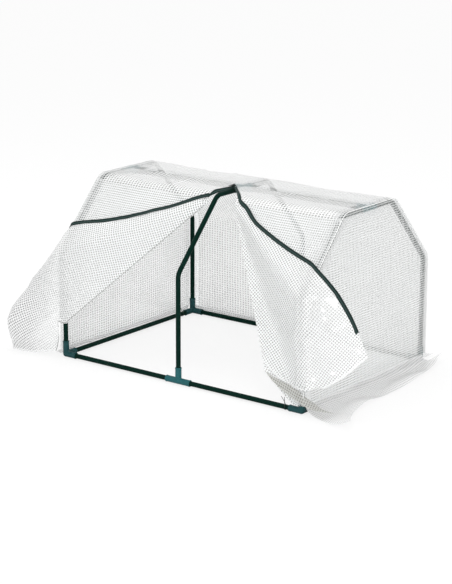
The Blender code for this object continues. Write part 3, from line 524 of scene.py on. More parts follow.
# %% Film with threads
def net_film(name, pitch, film, film_alpha, thread=WHITE, hem_width=HEM, hem_share=0.75, on_tubes=None,
             shade_span=None, shaded_fold=False):
    """Film with threads at a pitch each way, in metres. The film has a colour and an opacity of its own.

    on_tubes is how far from a tube's line the film touches it and turns clear. The next argument is a pair of places
    along X between which painted shade begins: the film turns darker and more solid there, for the sleeve's far side
    in shade behind it. The last one gives a thin grey line of painted shade at a fold."""
    m = new_material(name)
    flat = add_pattern(m, "net")
    wander = add_node(m, "ShaderNodeTexNoise", {"Vector": flat, "Scale": 9.0, "Detail": 2.0}).outputs["Color"]
    moved = add_node(m, "ShaderNodeVectorMath", {0: wander, 1: (0.5, 0.5, 0.5)}, operation="SUBTRACT").outputs[0]
    small = add_node(m, "ShaderNodeVectorMath", {0: moved, "Scale": WANDER}, operation="SCALE").outputs[0]
    laid = add_node(m, "ShaderNodeVectorMath", {0: flat, 1: small}, operation="ADD").outputs[0]
    net_u, net_v, _ = add_parts(m, laid)
    threads = add_math(m, "MAXIMUM", thread_mask(m, net_u, pitch[0]), thread_mask(m, net_v, pitch[1]))
    along, far, _ = add_parts(m, add_pattern(m, "hem"))
    dash = add_span(m, add_math(m, "PINGPONG", along, STITCH_LENGTH), 0.0004, 0.0008)
    row = add_math(m, "ABSOLUTE", add_math(m, "SUBTRACT", far, hem_width - STITCH_IN))
    solid = add_over(m, threads, dash, add_below(m, row, 0.0003, 0.0006))
    haze = add_span(m, add_noise(m, flat, 7, 4), 0.35, 0.7, -0.05, 0.06)
    if on_tubes:
        doubled = solid
        open_film = add_span(m, far, on_tubes * 0.6, on_tubes, CLEAR_ALPHA, film_alpha)
        on_thread = add_span(m, far, on_tubes * 0.6, on_tubes, ON_TUBE_ALPHA, THREAD_ALPHA)
        alpha = add_over(m, open_film, solid, on_thread)
    else:
        doubled = add_over(m, solid, add_below(m, far, hem_width - 0.0004, hem_width + 0.0004), hem_share)
        alpha = add_span(m, doubled, 0.0, 1.0, film_alpha, THREAD_ALPHA)
    # Painted shade: past the post the film is drawn darker and more solid, for the sleeve's far side in shade behind
    # it.
    if shade_span:
        layer = add_below(m, add_parts(m, place_in_object(m))[0], *shade_span)
        film = add_blend(m, layer, film, SLEEVE_SHADE_FILM)
        alpha = add_over(m, alpha, layer, SLEEVE_SHADE_ALPHA)
    colour = add_blend(m, doubled, film, thread)
    # Painted shade: a thin grey line along the fold.
    if shaded_fold:
        line = add_below(m, add_parts(m, add_pattern(m, "fold"))[1], 0.0026, 0.0040)
        colour = add_blend(m, line, colour, FOLD_SHADE)
        alpha = add_over(m, alpha, line, FOLD_ALPHA)
    crumple = add_math(m, "MULTIPLY", add_noise(m, flat, 55, 4), 0.35)
    height = add_math(m, "ADD", add_math(m, "MULTIPLY", solid, 0.5), crumple)
    facing = add_node(m, "ShaderNodeBsdfPrincipled", {
        "Base Color": colour, "Alpha": add_math(m, "ADD", alpha, haze),
        "Roughness": add_span(m, solid, 0.0, 1.0, 0.24, 0.55), "Normal": add_bump(m, height, 0.0008, 0.6),
        "Coat Weight": 1.0, "Coat Roughness": 0.13,
    })
    through = add_node(m, "ShaderNodeBsdfTranslucent", {"Color": (*thread, 1)})
    glow = add_math(m, "MULTIPLY", threads, THREAD_GLOW)
    both = add_node(m, "ShaderNodeMixShader", {0: glow, 1: facing.outputs[0], 2: through.outputs[0]})
    add_node(m, "ShaderNodeOutputMaterial", {"Surface": both.outputs[0]})
    return m


print("a stitch comes every", round(2000 * STITCH_LENGTH, 1), "mm")

# %% [markdown]
# The film is the same all over the real cover, but it looks darker or milkier with the light on it and with what
# it hangs in front of. So each part has its own film, with a grey and an opacity set against the picture,
# and with the pitches of the net counted there.

# %% Films of the parts
# Each part's grey, thread white and opacity are painted light and shade: the one film is drawn lighter or darker for
# how that part is lit and for what lies behind it.
WALL_FILM = net_film("net_film_walls", (0.0117, 0.0084), (0.20, 0.20, 0.19), 0.58, BRIGHT, on_tubes=0.024)
END_FILM = net_film("net_film_right_end", (0.0080, 0.0080), (0.33, 0.33, 0.315), 0.58, on_tubes=0.050)
FRONT_FILM = net_film("net_film_front", (0.0084, 0.0084), (0.36, 0.37, 0.36), 0.56)
# The left flap's film has painted shade: a grey line along its fold, and a darker sleeve past the post.
LEFT_FLAP_FILM = net_film(
    "net_film_left_flap", (0.0078, 0.0084), (0.51, 0.52, 0.51), 0.60, BRIGHT, shade_span=(-0.62, -0.50), shaded_fold=True,
)
RIGHT_FLAP_FILM = net_film("net_film_right_flap", (0.0078, 0.0084), (0.45, 0.46, 0.45), 0.60, BRIGHT)
SKIRT_FILM = net_film("net_film_skirts", (0.0080, 0.0084), (0.20, 0.20, 0.19), 0.72, (0.97, 0.97, 0.97), 0.055, 0.60)
# The doubled corner strip: denser film for its two layers, and grey threads as painted shade, for the shade where it is
# folded under.
SHADED_CORNER_FILM = net_film("net_film_doubled_painted_shade", (0.0080, 0.0084), (0.22, 0.22, 0.20), 0.86, (0.60, 0.60, 0.57), 0.006)
print("made", [m.name for m in bpy.data.materials if m.name.startswith("net_film")])

# %% [markdown]
# ## Sheets
# A sheet is a fine grid of places with no thickness: real film is 0.15 mm thick, and a closed skin would make the
# light pass two layers where there is one. Folds run through rows of places, joined by a smooth curve that stays
# tight where the places are close.

# %% Curves through places, and grids
def spline(points, at):
    spans = len(points) - 1
    k = min(int(at * spans), spans - 1)
    t = at * spans - k
    b, c = points[k], points[k + 1]
    a = points[k - 1] if k else b * 2 - c
    d = points[k + 2] if k + 2 <= spans else c * 2 - b
    before, here, after = (max(math.sqrt((q - p).length), 1e-4) for p, q in ((a, b), (b, c), (c, d)))
    leaving = (b - a) * (here / before) - (c - a) * (here / (before + here)) + (c - b)
    arriving = (c - b) - (d - b) * (here / (here + after)) + (d - c) * (here / after)
    return (
        b * (2 * t ** 3 - 3 * t ** 2 + 1) + leaving * (t ** 3 - 2 * t ** 2 + t)
        + c * (3 * t ** 2 - 2 * t ** 3) + arriving * (t ** 3 - t ** 2)
    )


def steps(first, last, count):
    return [first + (last - first) * k / count for k in range(count + 1)]


def cloth_points(rows, down, across):
    columns = [[spline(row, j) for row in rows] for j in steps(0, 1, across)]
    return [[spline(column, i) for column in columns] for i in steps(0, 1, down)]


def grid_mesh(name, points, skip=()):
    """A sheet over rows of points, faced away from the middle of the greenhouse."""
    wide = len(points[0])
    faces = [
        (i * wide + j, i * wide + j + 1, (i + 1) * wide + j + 1, (i + 1) * wide + j)
        for i in range(len(points) - 1) for j in range(wide - 1) if (i, j) not in skip
    ]
    mesh = new_mesh(name, [p for row in points for p in row], faces)
    outward = sum((face.center - Vector((0, 0, 0.25))).dot(face.normal) * face.area for face in mesh.polygons)
    if outward < 0:
        mesh.flip_normals()
    mesh.shade_smooth()
    return add_object(name, mesh)


peak = [Vector((0, 0, 0)), Vector((1, 1, 0)), Vector((2, 0, 0))]
print("a curve over a peak is", round(spline(peak, 0.25).y, 3), "high at a quarter of its way")

# %% [markdown]
# ## Flat patterns
# A flat panel's pattern is known: along X, and along the line of the hoop. A folded flap's pattern isn't, so
# Blender's minimum stretch unwrap lays it flat, and it is then scaled to its real area and turned so that the
# threads run along one edge, as they do on the real flap along its zip.

# %% Lay a sheet out flat
def set_layer(sheet, name, values):
    """Writes a pattern with one pair of numbers for each point of the sheet."""
    layer = sheet.data.uv_layers.get(name) or sheet.data.uv_layers.new(name=name)
    for loop in sheet.data.loops:
        layer.data[loop.index].uv = values[loop.vertex_index]


def get_layer(sheet, name):
    layer = sheet.data.uv_layers[name]
    values = [Vector((0, 0))] * len(sheet.data.vertices)
    for loop in sheet.data.loops:
        values[loop.vertex_index] = layer.data[loop.index].uv.copy()
    return values


def pattern_area(sheet, values):
    total = 0.0
    for face in sheet.data.polygons:
        corners = [values[v] for v in face.vertices]
        total += abs(sum(a.cross(b) for a, b in zip(corners, corners[1:] + corners[:1]))) / 2
    return total


def unwrap(sheet, first, last):
    """Lays the sheet flat in metres, with the line from its point first to its point last along V."""
    sheet.data.uv_layers.new(name="net")
    for other in bpy.context.selected_objects:
        other.select_set(False)
    bpy.context.view_layer.objects.active = sheet
    sheet.select_set(True)
    bpy.ops.object.mode_set(mode="EDIT")
    bpy.ops.mesh.select_all(action="SELECT")
    bpy.ops.uv.unwrap(method="MINIMUM_STRETCH", margin=0.0)
    bpy.ops.object.mode_set(mode="OBJECT")
    sheet.select_set(False)
    values = get_layer(sheet, "net")
    real = sum(face.area for face in sheet.data.polygons)
    scale = math.sqrt(real / pattern_area(sheet, values))
    line = values[last] - values[first]
    turn = Matrix.Rotation(math.pi / 2 - math.atan2(line.y, line.x), 2)
    values = [turn @ (value * scale) for value in values]
    low = Vector((min(v.x for v in values), min(v.y for v in values)))
    set_layer(sheet, "net", [value - low for value in values])

# %% [markdown]
# A hem is folded over and stitched. Each place is given how far it is from the nearest hemmed edge, and how far
# along that edge, so that the stitches run in line with it.

# %% Hems
FAR = 0.05


def set_hem(sheet, points, with_ends=False):
    """Writes how far each point is along and from the nearest hemmed edge: the last row, or also either end."""
    downs = list(zip(*[runs_of(column) for column in zip(*points)]))
    values = []
    for row, down in zip(points, downs):
        runs = runs_of(row)
        for j, run in enumerate(runs):
            near = [(FAR, 0.0), (downs[-1][j] - down[j], run)]
            if with_ends:
                near += [(run, down[j]), (runs[-1] - run, down[j])]
            values.append(min(near)[::-1])
    set_layer(sheet, "hem", values)


print("a place with no hem near is given as", FAR, "m from it")

# %% [markdown]
# ## Wrinkles
# The film remembers how it was packed: long soft billows, sharp small creases, and folds that fan out from where
# it is pulled. Each is a height over the flat pattern, and a point moves outward by their sum. Where
# the cloth lies on a tube or on another layer the height is kept small, so that nothing cuts into anything.

# %% Heights over a flat pattern
def ramp(value, length):
    """0 up to the start, 1 past the length, and even between."""
    return min(1, max(0, value / length))


def billow(u, v, size, seed):
    return noise.noise(Vector((u / size, v / size, seed)))


def crease(u, v, size, seed):
    """A sharp ridge where soft noise crosses zero."""
    return (1 - min(1, abs(billow(u, v, size, seed)) * 3)) ** 2


def wrinkle(sheet, height):
    """Moves each point along its normal by height(place, u, v)."""
    flat = get_layer(sheet, "net")
    normals = [vertex.normal.copy() for vertex in sheet.data.vertices]
    for vertex, normal, (u, v) in zip(sheet.data.vertices, normals, flat):
        vertex.co = vertex.co + normal * height(vertex.co, u, v)
    sheet.data.update()


def dress(sheet, look, body, nodes):
    """Finishes a sheet: its look, the solids it stands for and the body it rides on."""
    sheet.data.materials.append(look)
    set_piece(sheet, body, "cloth", *nodes)
    flat = get_layer(sheet, "net")

# %% [markdown]
# ## The main panel
# One panel runs from the front of the roof over the ridge, down the rear slope and the rear wall. It is stretched
# over the hoops and the ridge tubes, and sags a little between them. The zip's slit parts it in front of the
# ridge: the columns of the grid follow the slit's two sides, and the faces between them are left out.

# %% Line of the roof, and the slit
HALF_WIDE = HALF_SPAN + COVER_EDGE
ROOF_LAP, LEFT_SLIT_FOOT = 0.0025, -(LEFT_APEX + 0.008)
CELL, PANEL_COLUMNS = 0.009, 56
ROOF_LINE = section(COVER_OFFSET, WALL_FOOT, PANEL_BEND_STEPS)[PANEL_BEND_STEPS + 2:]
FRONT_Y = ROOF_LINE[0].y
ROOF_LINE.insert(0, slope_point(0, BEND_SHARE + ROOF_LAP / SLANT.length, COVER_OFFSET + 0.0005))


def refined(line):
    """The line with its long stretches divided."""
    made = [line[0]]
    for a, b in zip(line, line[1:]):
        count = max(1, math.ceil((b - a).length / CELL))
        made += [a.lerp(b, k / count) for k in range(1, count + 1)]
    return made


def slit_side(y, half, foot):
    """Where a side of the slit is at a depth: half off the middle at its upper end, and foot at the roof's edge."""
    return half + (foot - half) * ramp(-y - SLIT_TOP, -FRONT_Y - SLIT_TOP)


def off_tubes(p):
    """How far a place on the main panel is from the nearest hoop or ridge tube."""
    ridge = abs(p.y) if p.z > TOP_Z else 1
    return min(abs(abs(p.x) - HALF_SPAN), abs(p.x), ridge)


print("the main panel runs", round(runs_of(ROOF_LINE)[-1], 3), "m from front to foot")

# %% [markdown]
# The panel sags most midway between two hoops, and not at all along the ridge. The flat roof, where the flaps'
# weight pulls at it, is more creased than the rear, and its left half most.

# %% Main panel
def main_panel():
    line = sorted(set((round(p.y, 6), round(p.z, 6)) for p in refined(ROOF_LINE)), key=lambda p: (p[0], -p[1]))
    line = [Vector((0, y, z)) for y, z in line]
    points, net = [], []
    for p, run in zip(line, runs_of(line)):
        across = steps(-HALF_WIDE, slit_side(p.y, -SLIT_HALF, LEFT_SLIT_FOOT), PANEL_COLUMNS)
        across += steps(slit_side(p.y, SLIT_HALF, SLIT_OPEN), HALF_WIDE, PANEL_COLUMNS)
        points.append([Vector((x, p.y, p.z)) for x in across])
        net += [(x, run) for x in across]
    skip = {(i, PANEL_COLUMNS) for i, p in enumerate(line[:-1]) if p.y < -SLIT_TOP}
    sheet = grid_mesh("main_panel", points, skip)
    set_layer(sheet, "net", net)
    set_layer(sheet, "hem", [(0, off_tubes(p)) for row in points for p in row])

    def height(p, u, v):
        between = math.sin(math.pi * min(1, abs(p.x) / HALF_SPAN)) ** 2
        ridge = 1 - math.exp(-(p.y / 0.05) ** 2)
        foot, front = ramp(p.z - WALL_FOOT, 0.08), ramp(p.y - FRONT_Y, 0.06)
        sag = -0.0035 * between * ridge * foot * front
        loose = between * foot * front
        roof = (3.0 if p.x < 0 else 1.8) if p.z > TOP_Z - 0.03 else 0.5
        folds = 0.0016 * billow(u, v, 0.13, 3.1) + 0.0012 * billow(u, v, 0.045, 7.7) * roof
        creases = 0.0020 * crease(u, v, 0.13, 1.3) * roof
        return sag + loose * (folds + creases) + 0.0004 * (1 - between) * max(0, billow(u, v, 0.03, 2.2))

    wrinkle(sheet, height)
    return sheet


dress(
    main_panel(), WALL_FILM, "cover", ("cover_roof", "cover_rear_slope", "cover_rear_wall"),
)

# %% [markdown]
# ## End panels
# Each end is one flat panel cut to the hoop's section and sewn to the main panel all round. Its grid narrows as
# the hoop does: each row is as wide as the section at its height.

# %% End panels
END_COLUMNS = 76


def half_width(line, z):
    """Half of the section's width at a height."""
    for a, b in zip(line, line[1:]):
        if a.z <= z <= b.z and b.z > a.z:
            return -(a.y + (b.y - a.y) * (z - a.z) / (b.z - a.z))
    return -line[-1].y


def off_outline(line, p):
    """How far a place on an end panel is from the panel's outline, leaving out its foot."""
    near = []
    for a, b in zip(line, line[1:]):
        along = Vector((0, b.y - a.y, b.z - a.z))
        share = ramp((p.y - a.y) * along.y + (p.z - a.z) * along.z, along.length_squared)
        near.append(math.hypot(p.y - a.y - along.y * share, p.z - a.z - along.z * share))
    return min(near)


def end_panel(name, side):
    whole = section(COVER_OFFSET - GAP, WALL_FOOT, PANEL_BEND_STEPS)
    line = whole[: len(whole) // 2]
    top = line[-1].z

    def wide_at(z):
        return half_width(line, min(z, top - 1e-6))

    points = []
    for z in (place.z for place in refined([Vector((0, 0, p.z)) for p in line])):
        across = steps(-wide_at(z), wide_at(z), END_COLUMNS)
        points.append([Vector((side * (HALF_SPAN + COVER_OFFSET), y, z)) for y in across])
    sheet = grid_mesh(name, points)
    set_layer(sheet, "net", [(p.y, p.z) for row in points for p in row])
    set_layer(sheet, "hem", [(0, off_outline(whole, p)) for row in points for p in row])

    def height(p, u, v):
        inside = ramp(wide_at(max(p.z, WALL_FOOT)) - abs(p.y), 0.10)
        loose = inside * (ramp(p.z - WALL_FOOT, 0.10) * ramp(top - p.z, 0.06))
        folds = 0.0022 * billow(u, v, 0.16, 5.3 + side) + 0.0008 * billow(u * 0.6, v * 2, 0.05, 9.1)
        return loose * (folds + 0.0014 * crease(u, v, 0.15, 4.4 + side) - 0.0015)

    wrinkle(sheet, height)
    return sheet


for (side_name, side), film in zip(SIDES, (WALL_FILM, END_FILM)):
    panel = end_panel(f"{side_name}_end_panel", side)
    dress(panel, film, "cover", (f"cover_{side_name}_end",))

# %% [markdown]
# ## The fixed parts of the front
# Beside the two folds, the front stays in place. Each part is a cone of cloth: straight lines from the slit's lower
# corner to the fold's foot, the end post, round the shoulder and up the slant. The same cone, a little
# farther out, carries the flap that is folded back over it.

# %% Cones of cloth
LEFT_FOLD_FOOT, RIGHT_FOLD_X, RIGHT_FOLD_FOOT = 0.120, 0.355, 0.116
FOLD = {-1: (-HALF_SPAN, -HALF_DEPTH, LEFT_FOLD_FOOT), 1: (RIGHT_FOLD_X, -HALF_DEPTH, RIGHT_FOLD_FOOT)}
APEX_X, CROSSING = {-1: -LEFT_APEX, 1: SLIT_OPEN}, {-1: 0.35, 1: 0.375}
FIXED_SHARES, FIXED_SLANTS, FIXED_DOWN, FIXED_ACROSS = (0.01, 0.34, 0.67, 0.96, 1), (0.3, 0.6, 1), 44, 60


def cone(side):
    """A cone's apex, at the slit's lower corner, and the way outward from its part below the shoulder."""
    apex = slope_point(APEX_X[side], BEND_SHARE, 0)
    shoulder = Vector((side * HALF_SPAN, -HALF_DEPTH, SHOULDER_Z))
    low = (shoulder - apex).cross(Vector(FOLD[side]) - apex).normalized()
    return apex, (low if low.y < 0 else -low)


def hoop_front(side, offset, foot, slants):
    """Places up the front of an end hoop: two up the post, round the shoulder, then at shares of the slant."""
    line = section(offset, WALL_FOOT)
    shoulder, top = line[1 : BEND_STEPS + 2], line[BEND_STEPS + 2]
    places = [Vector((0, line[0].y, z)) for z in (foot, (foot + SHOULDER_Z) / 2)] + shoulder
    places += [shoulder[-1].lerp(top, at) for at in slants]
    return [Vector((side * HOOP_SIDE, p.y, p.z)) for p in places]


def fan(apex, ends, sides, shares, offset):
    """Rows of places from the apex to each end."""
    return [[(apex + n * offset).lerp(end, at) for end, n in zip(ends, sides)] for at in shares]


def fixed_fan(side, offset, shares, slants):
    """Rows on a side's cone. The right one begins at the fold's foot, in front of the post."""
    apex, low = cone(side)
    ends = hoop_front(side, offset, WALL_FOOT if side > 0 else LEFT_FOLD_FOOT, slants)
    if side > 0:
        ends.insert(0, Vector((RIGHT_FOLD_X, -HALF_DEPTH - offset, RIGHT_FOLD_FOOT)))
    turning = [low.lerp(SLOPE_NORMAL, k / BEND_STEPS).normalized() for k in range(BEND_STEPS + 1)]
    below = [low] * (len(ends) - len(turning) - len(slants))
    return fan(apex, ends, below + turning + [SLOPE_NORMAL] * len(slants), shares, offset)


print("the cones begin at", [[round(v, 3) for v in cone(side)[0]] for _, side in SIDES])

# %% [markdown]
# Each fixed part is one grid over its cone, and its last row reaches the cover's outer edge. On the real cover it
# is cut from the same piece as the roof, so the threads run along the roof's edge and down from it.

# %% Fixed fronts
def fixed_front(name, side):
    """Under the flap the cloth stays smooth, and above it, where it lies bare, it is creased."""
    rows = fixed_fan(side, COVER_OFFSET, FIXED_SHARES, FIXED_SLANTS)
    apex, end = abs(APEX_X[side]), rows[-1]
    last = [Vector((side * HALF_WIDE, p.y, p.z)) for p in end]
    if side > 0:
        last[0] = end[0] + (end[1] - end[0]) * 0.05
    points = cloth_points(rows + [last], FIXED_DOWN, FIXED_ACROSS)
    for point in (p for row in points for p in row):
        point.x = max(-HALF_WIDE, min(HALF_WIDE, point.x))
    sheet = grid_mesh(name, points)
    unwrap(sheet, FIXED_ACROSS, len(sheet.data.vertices) - 1)
    set_layer(sheet, "net", [(side * v.y, v.x) for v in get_layer(sheet, "net")])
    set_layer(sheet, "hem", [(0, FAR)] * len(sheet.data.vertices))

    def height(p, u, v):
        inside = ramp(HOOP_SIDE - abs(p.x), 0.08) * ramp(abs(p.x) - 0.10, 0.08) * ramp(FRONT_Y - p.y, 0.04)
        down = (-p.y - HALF_TOP) / (HALF_DEPTH - HALF_TOP)
        bare = ramp(CROSSING[side] * (abs(p.x) - apex) / (HALF_WIDE - apex) - down, 0.12)
        folds = 0.0007 * billow(u, v, 0.09, 6.2) + 0.0005 * billow(u, v, 0.035, 8.8) - 0.0008
        return inside * (folds + bare * (0.0024 * crease(u, v, 0.11, 2.6) + 0.0022 * billow(u, v, 0.06, 3.8)))

    wrinkle(sheet, height)
    return sheet


for side_name, side in SIDES:
    part = fixed_front(f"{side_name}_fixed_front", side)
    dress(part, FRONT_FILM, "cover", (f"cover_front_{side_name}",))

# %% [markdown]
# ## Flaps
# The zip parts the front into two flaps, and each is folded back on the outside: over the fixed part, round the end
# post, and on past the end, where it hangs free. The left one hangs as a wide sleeve down to the ground. The
# right one curls round the post and stands off the end. A few rows of places, read off the picture, hold these forms.
# Cloth simulation could drape them too, but it wouldn't come to rest in just these folds.

# %% Rows of places for the flaps
FLAP_LIFT, FLAP_SEAT, FOLD_CLEARANCE = 0.004, CLOTH + GAP, 0.003
FLAP_SHARES = (0.04, 0.34, 0.67, 0.96, 1)
LEFT_BELLY, LEFT_DIP = (0, 0.0045, 0.0166, 0.0020, 0), 0.013
RIGHT_BELLY, RIGHT_DIP = (0, 0.0092, 0.0105, 0, 0), 0.020
RIGHT_HEM_POST, RIGHT_FLAP_FOOT, PIPING_RADIUS, CURL_DROP = 0.085, 0.89, 0.0012, 0.0072
LEFT_SLEEVE = (
    ((0.009, -0.0235, 0.072), (0.062, -0.032, 0.150), (0.096, -0.014, 0.245), (0.104, 0.004, 0.282),
     (0.096, 0.030, 0.320), (0.074, 0.070, 0.350), (0.043, 0.105, 0.372)),
    ((0.012, -0.0265, 0.046), (0.115, -0.050, 0.066), (0.200, -0.062, 0.092), (0.2195, -0.040, 0.110),
     (0.215, 0.000, 0.140), (0.160, 0.070, 0.190), (0.075, 0.130, 0.262)),
    ((0.017, -0.029, 0.024), (0.120, -0.044, 0.003), (0.200, -0.040, 0.003), (0.2255, -0.014, 0.004),
     (0.220, 0.040, 0.020), (0.175, 0.110, 0.080), (0.095, 0.155, 0.175)),
)
RIGHT_CURL = (
    ((0.021, -0.022, 0.084), (0.033, -0.011, 0.185), (0.043, 0.004, 0.290), (0.050, 0.019, 0.325),
     (0.058, 0.032, 0.362), (0.066, 0.047, 0.382), (0.073, 0.062, 0.397)),
    ((0.042, -0.020, 0.086), (0.063, 0.029, 0.140), (0.081, 0.049, 0.200), (0.093, 0.064, 0.235),
     (0.107, 0.080, 0.265), (0.115, 0.089, 0.281), (0.123, 0.097, 0.297)),
    ((0.066, -0.017, 0.0915), (0.086, 0.052, 0.104), (0.105, 0.074, 0.122), (0.119, 0.090, 0.137),
     (0.135, 0.108, 0.158), (0.144, 0.118, 0.169), (0.153, 0.128, 0.180)),
)
FLAP_SHAPES = {
    -1: (LEFT_FOLD_FOOT, 1, LEFT_SLEEVE, LEFT_BELLY, LEFT_DIP),
    1: (RIGHT_HEM_POST, RIGHT_FLAP_FOOT, RIGHT_CURL, RIGHT_BELLY, RIGHT_DIP),
}
print("a flap has", len(FLAP_SHARES) + 1 + len(LEFT_SLEEVE), "rows of places")

# %% [markdown]
# Over the fixed part the rows follow its cone, a little farther out. The fold itself lies close on the cone, and
# the zip's edge sags between the apex and the end, as a heavy edge does.

# %% Rows over the front and past the end
def past_edge(row, side):
    out = HALF_WIDE + GAP + 2 * PIPING_RADIUS + FLAP_LIFT
    return [Vector((side * out, p.y, p.z)) for p in row]


def beside(side, out, back, height):
    """A place outside an end: out from the end hoop, back from the front posts, up from the ground."""
    return Vector((side * (HALF_SPAN + out), -HALF_DEPTH + back, height))


def seat_fold(rows, start, end):
    for row, at in zip(rows, FLAP_SHARES):
        on_line = start.lerp(end, at)
        across = row[1] - on_line
        row[0] = on_line + across.normalized() * min(FOLD_CLEARANCE, across.length * 0.3)


def hang_zip(rows, belly, dip):
    """Moves the rows' last column down the slope: by the belly over the front, and by the dip past the end."""
    down = SLANT.normalized()
    for row, sag in zip(rows, (*belly, dip)):
        row[-1] += down * sag
        row[-2] += down * (sag * 0.4)


def flap_rows(side):
    """Rows over the fixed part, one past the end's edge, then those of the hanging cloth.

    The right flap's hem reaches from the fold to the post, so it has two more columns, which drop along the fold."""
    foot, reach, hanging, belly, dip = FLAP_SHAPES[side]
    seat = fixed_fan(side, COVER_OFFSET + FLAP_SEAT, (0, 1), (1,))
    start, end = seat[0][0], seat[0][0].lerp(seat[-1][0], reach)
    offset, drop = COVER_OFFSET + FLAP_LIFT, (end - start).normalized() * CURL_DROP
    post = Vector((HOOP_SIDE, -HALF_DEPTH - offset, foot))
    hem = [end, end.lerp(post, 0.5)] if side > 0 else []
    line = hoop_front(side, offset, foot, (CROSSING[side] / 2, CROSSING[side]))
    ends = hem + line[:3] + [line[2 + BEND_STEPS // 2], line[2 + BEND_STEPS]] + line[-2:]
    apex, low = cone(side)
    sides = [low] * (len(ends) - 4) + [low.lerp(SLOPE_NORMAL, 0.5).normalized()] + [SLOPE_NORMAL] * 3
    rows = fan(apex, ends, sides, FLAP_SHARES, offset)
    rows.append([p + drop for p in hem] + past_edge(rows[-1][len(hem):], side))
    seat_fold(rows, start, end)
    hang_zip(rows, belly, dip)
    for turn, places in enumerate(hanging):
        rows.append([p + drop * (turn + 2) for p in hem] + [beside(side, *place) for place in places])
    return rows


FLAP_ROWS = {side: flap_rows(side) for _, side in SIDES}
print("columns in a row of places:", [len(rows[0]) for rows in FLAP_ROWS.values()])

# %% [markdown]
# A smooth grid goes through the rows. The zip is stiffer than the film, so its edge is evened out more than the
# rest. The weight of each flap draws the zip's upper corner aside, and the cloth near it follows less and less.

# %% The edge along the zip
FLAP_DOWN, FLAP_ACROSS = 96, 64
ZIP_ROUNDS, CORNER_REACH = 36, 0.13
UPWARD_SLOPE = -SLANT.normalized()
LEFT_ASIDE = Vector((LEFT_SLIT_FOOT + LEFT_APEX + 0.001, 0, 0))
CORNER_SHIFT = {-1: LEFT_ASIDE + UPWARD_SLOPE * 0.014, 1: Vector((0.022, 0, 0)) + UPWARD_SLOPE * 0.008}


def eased(points, first, rounds):
    """Evens out each line of places from the apex downward, more towards the zip edge."""
    for _ in range(rounds):
        before = [list(row) for row in points]
        for i in range(1, len(points) - 1):
            for j in range(first, len(points[0])):
                share = (j - first) / (len(points[0]) - 1 - first)
                middle = (before[i - 1][j] + before[i + 1][j]) / 2
                points[i][j] = before[i][j].lerp(middle, 0.5 * share)


def faded(run, reach):
    """1 at the start of a run, and softly down to 0 at its reach."""
    left = max(0, 1 - run / reach)
    return left * left * (3 - 2 * left)


def drawn_corner(points, first, shift):
    """Draws the zip edge's upper corner aside, and the cloth near it less and less."""
    for row, run in zip(points, runs_of([row[-1].copy() for row in points])):
        for j in range(first, len(row)):
            row[j] = row[j] + shift * faded(run, CORNER_REACH) * ((j - first) / (len(row) - 1 - first)) ** 2


print("the zip's corners are drawn aside by", [round(abs(CORNER_SHIFT[side].x), 3) for _, side in SIDES], "m")

# %% [markdown]
# A flap is creased along rays from its apex, where it is pulled, and more so where it hangs free. It keeps a third
# pattern, with the distance from its fold.

# %% Flaps
def flap(name, side):
    points = cloth_points(FLAP_ROWS[side], FLAP_DOWN, FLAP_ACROSS)
    eased(points, FLAP_ACROSS * 3 // 4, ZIP_ROUNDS)
    drawn_corner(points, FLAP_ACROSS // 3, CORNER_SHIFT[side])
    sheet = grid_mesh(name, points)
    unwrap(sheet, FLAP_ACROSS, len(sheet.data.vertices) - 1)
    set_hem(sheet, points)
    set_layer(sheet, "fold", [(0, (p - row[0]).length) for row in points for p in row])
    apex = points[0][0]

    def height(p, u, v):
        free = ramp(abs(p.x) - HALF_WIDE, 0.05)
        reach = ramp((p - apex).length - 0.05, 0.12)
        folds = 0.0024 * billow(u, v, 0.09, 2.5 + side) + 0.0014 * billow(u, v, 0.035, 5.5)
        rays = 0.0020 * crease(u * 2.4, v * 0.35, 0.14, 3.3 * side)
        creases = 0.0020 * crease(u, v, 0.10, 8.1 + side)
        outward = max(-0.0010, folds) + rays + creases
        return reach * (outward * (1 + 0.6 * free) + 0.0004)

    wrinkle(sheet, height)
    return sheet


FLAPS = {side: flap(f"{side_name}_front_flap", side) for side_name, side in SIDES}
for (side_name, side), film in zip(SIDES, (LEFT_FLAP_FILM, RIGHT_FLAP_FILM)):
    dress(FLAPS[side], film, f"{side_name}_flap", (f"{side_name}_flap",))

# %% [markdown]
# ## Skirt
# The skirt is a strip sewn to the foot of the walls. It lies splayed on the ground, where soil or stones would hold
# it down, and its free edge is wavy and turns up at the front right corner.

# %% Skirt rows
RIGHT_HEM = (
    (0.050, 0.779, 0.030), (0.062, 0.716, 0.028), (0.078, 0.654, 0.015), (0.098, 0.534, 0.010),
    (0.108, 0.404, 0.004), (0.113, 0.284, 0.006), (0.113, 0.199, 0.015), (0.143, 0.074, 0.015),
    (REACH_X - HALF_SPAN, -0.074, 0.045),
)
LEFT_HEM = (
    (0.060, 0.750, 0.012), (0.085, 0.690, 0.006), (0.105, 0.590, 0.010), (0.115, 0.480, 0.004),
    (0.112, 0.370, 0.008), (0.105, 0.260, 0.003), (0.095, 0.160, 0.003), (0.080, 0.080, 0.003),
    (0.060, 0.020, 0.003),
)
KNEE_OUT, END_IN = 0.006, 0.004


def rippled(count, height, turns, phase):
    return [height * (0.5 + 0.5 * math.sin(phase + turns * 2 * math.pi * k / (count - 1))) for k in range(count)]


def rear_skirt_rows():
    count, wall = 13, HALF_DEPTH + COVER_OFFSET
    along = steps(-HALF_SPAN, HALF_SPAN, count - 1)
    high = rippled(count, 0.014, 3, 0.4)
    return [
        [Vector((x, wall, SKIRT_TOP)) for x in along],
        [Vector((x, wall + KNEE_OUT, SKIRT_TOP * 0.5)) for x in along],
        [Vector((x, wall + 0.026, LYING + 0.002 + 0.3 * h)) for x, h in zip(along, high)],
        [Vector((x * 1.01, REACH_Y - 0.020, LYING + h)) for x, h in zip(along, high)],
        [Vector((x * 1.02, REACH_Y - 0.010 * abs(math.sin(5 * x)), LYING + 0.4 * h)) for x, h in zip(along, high)],
    ]


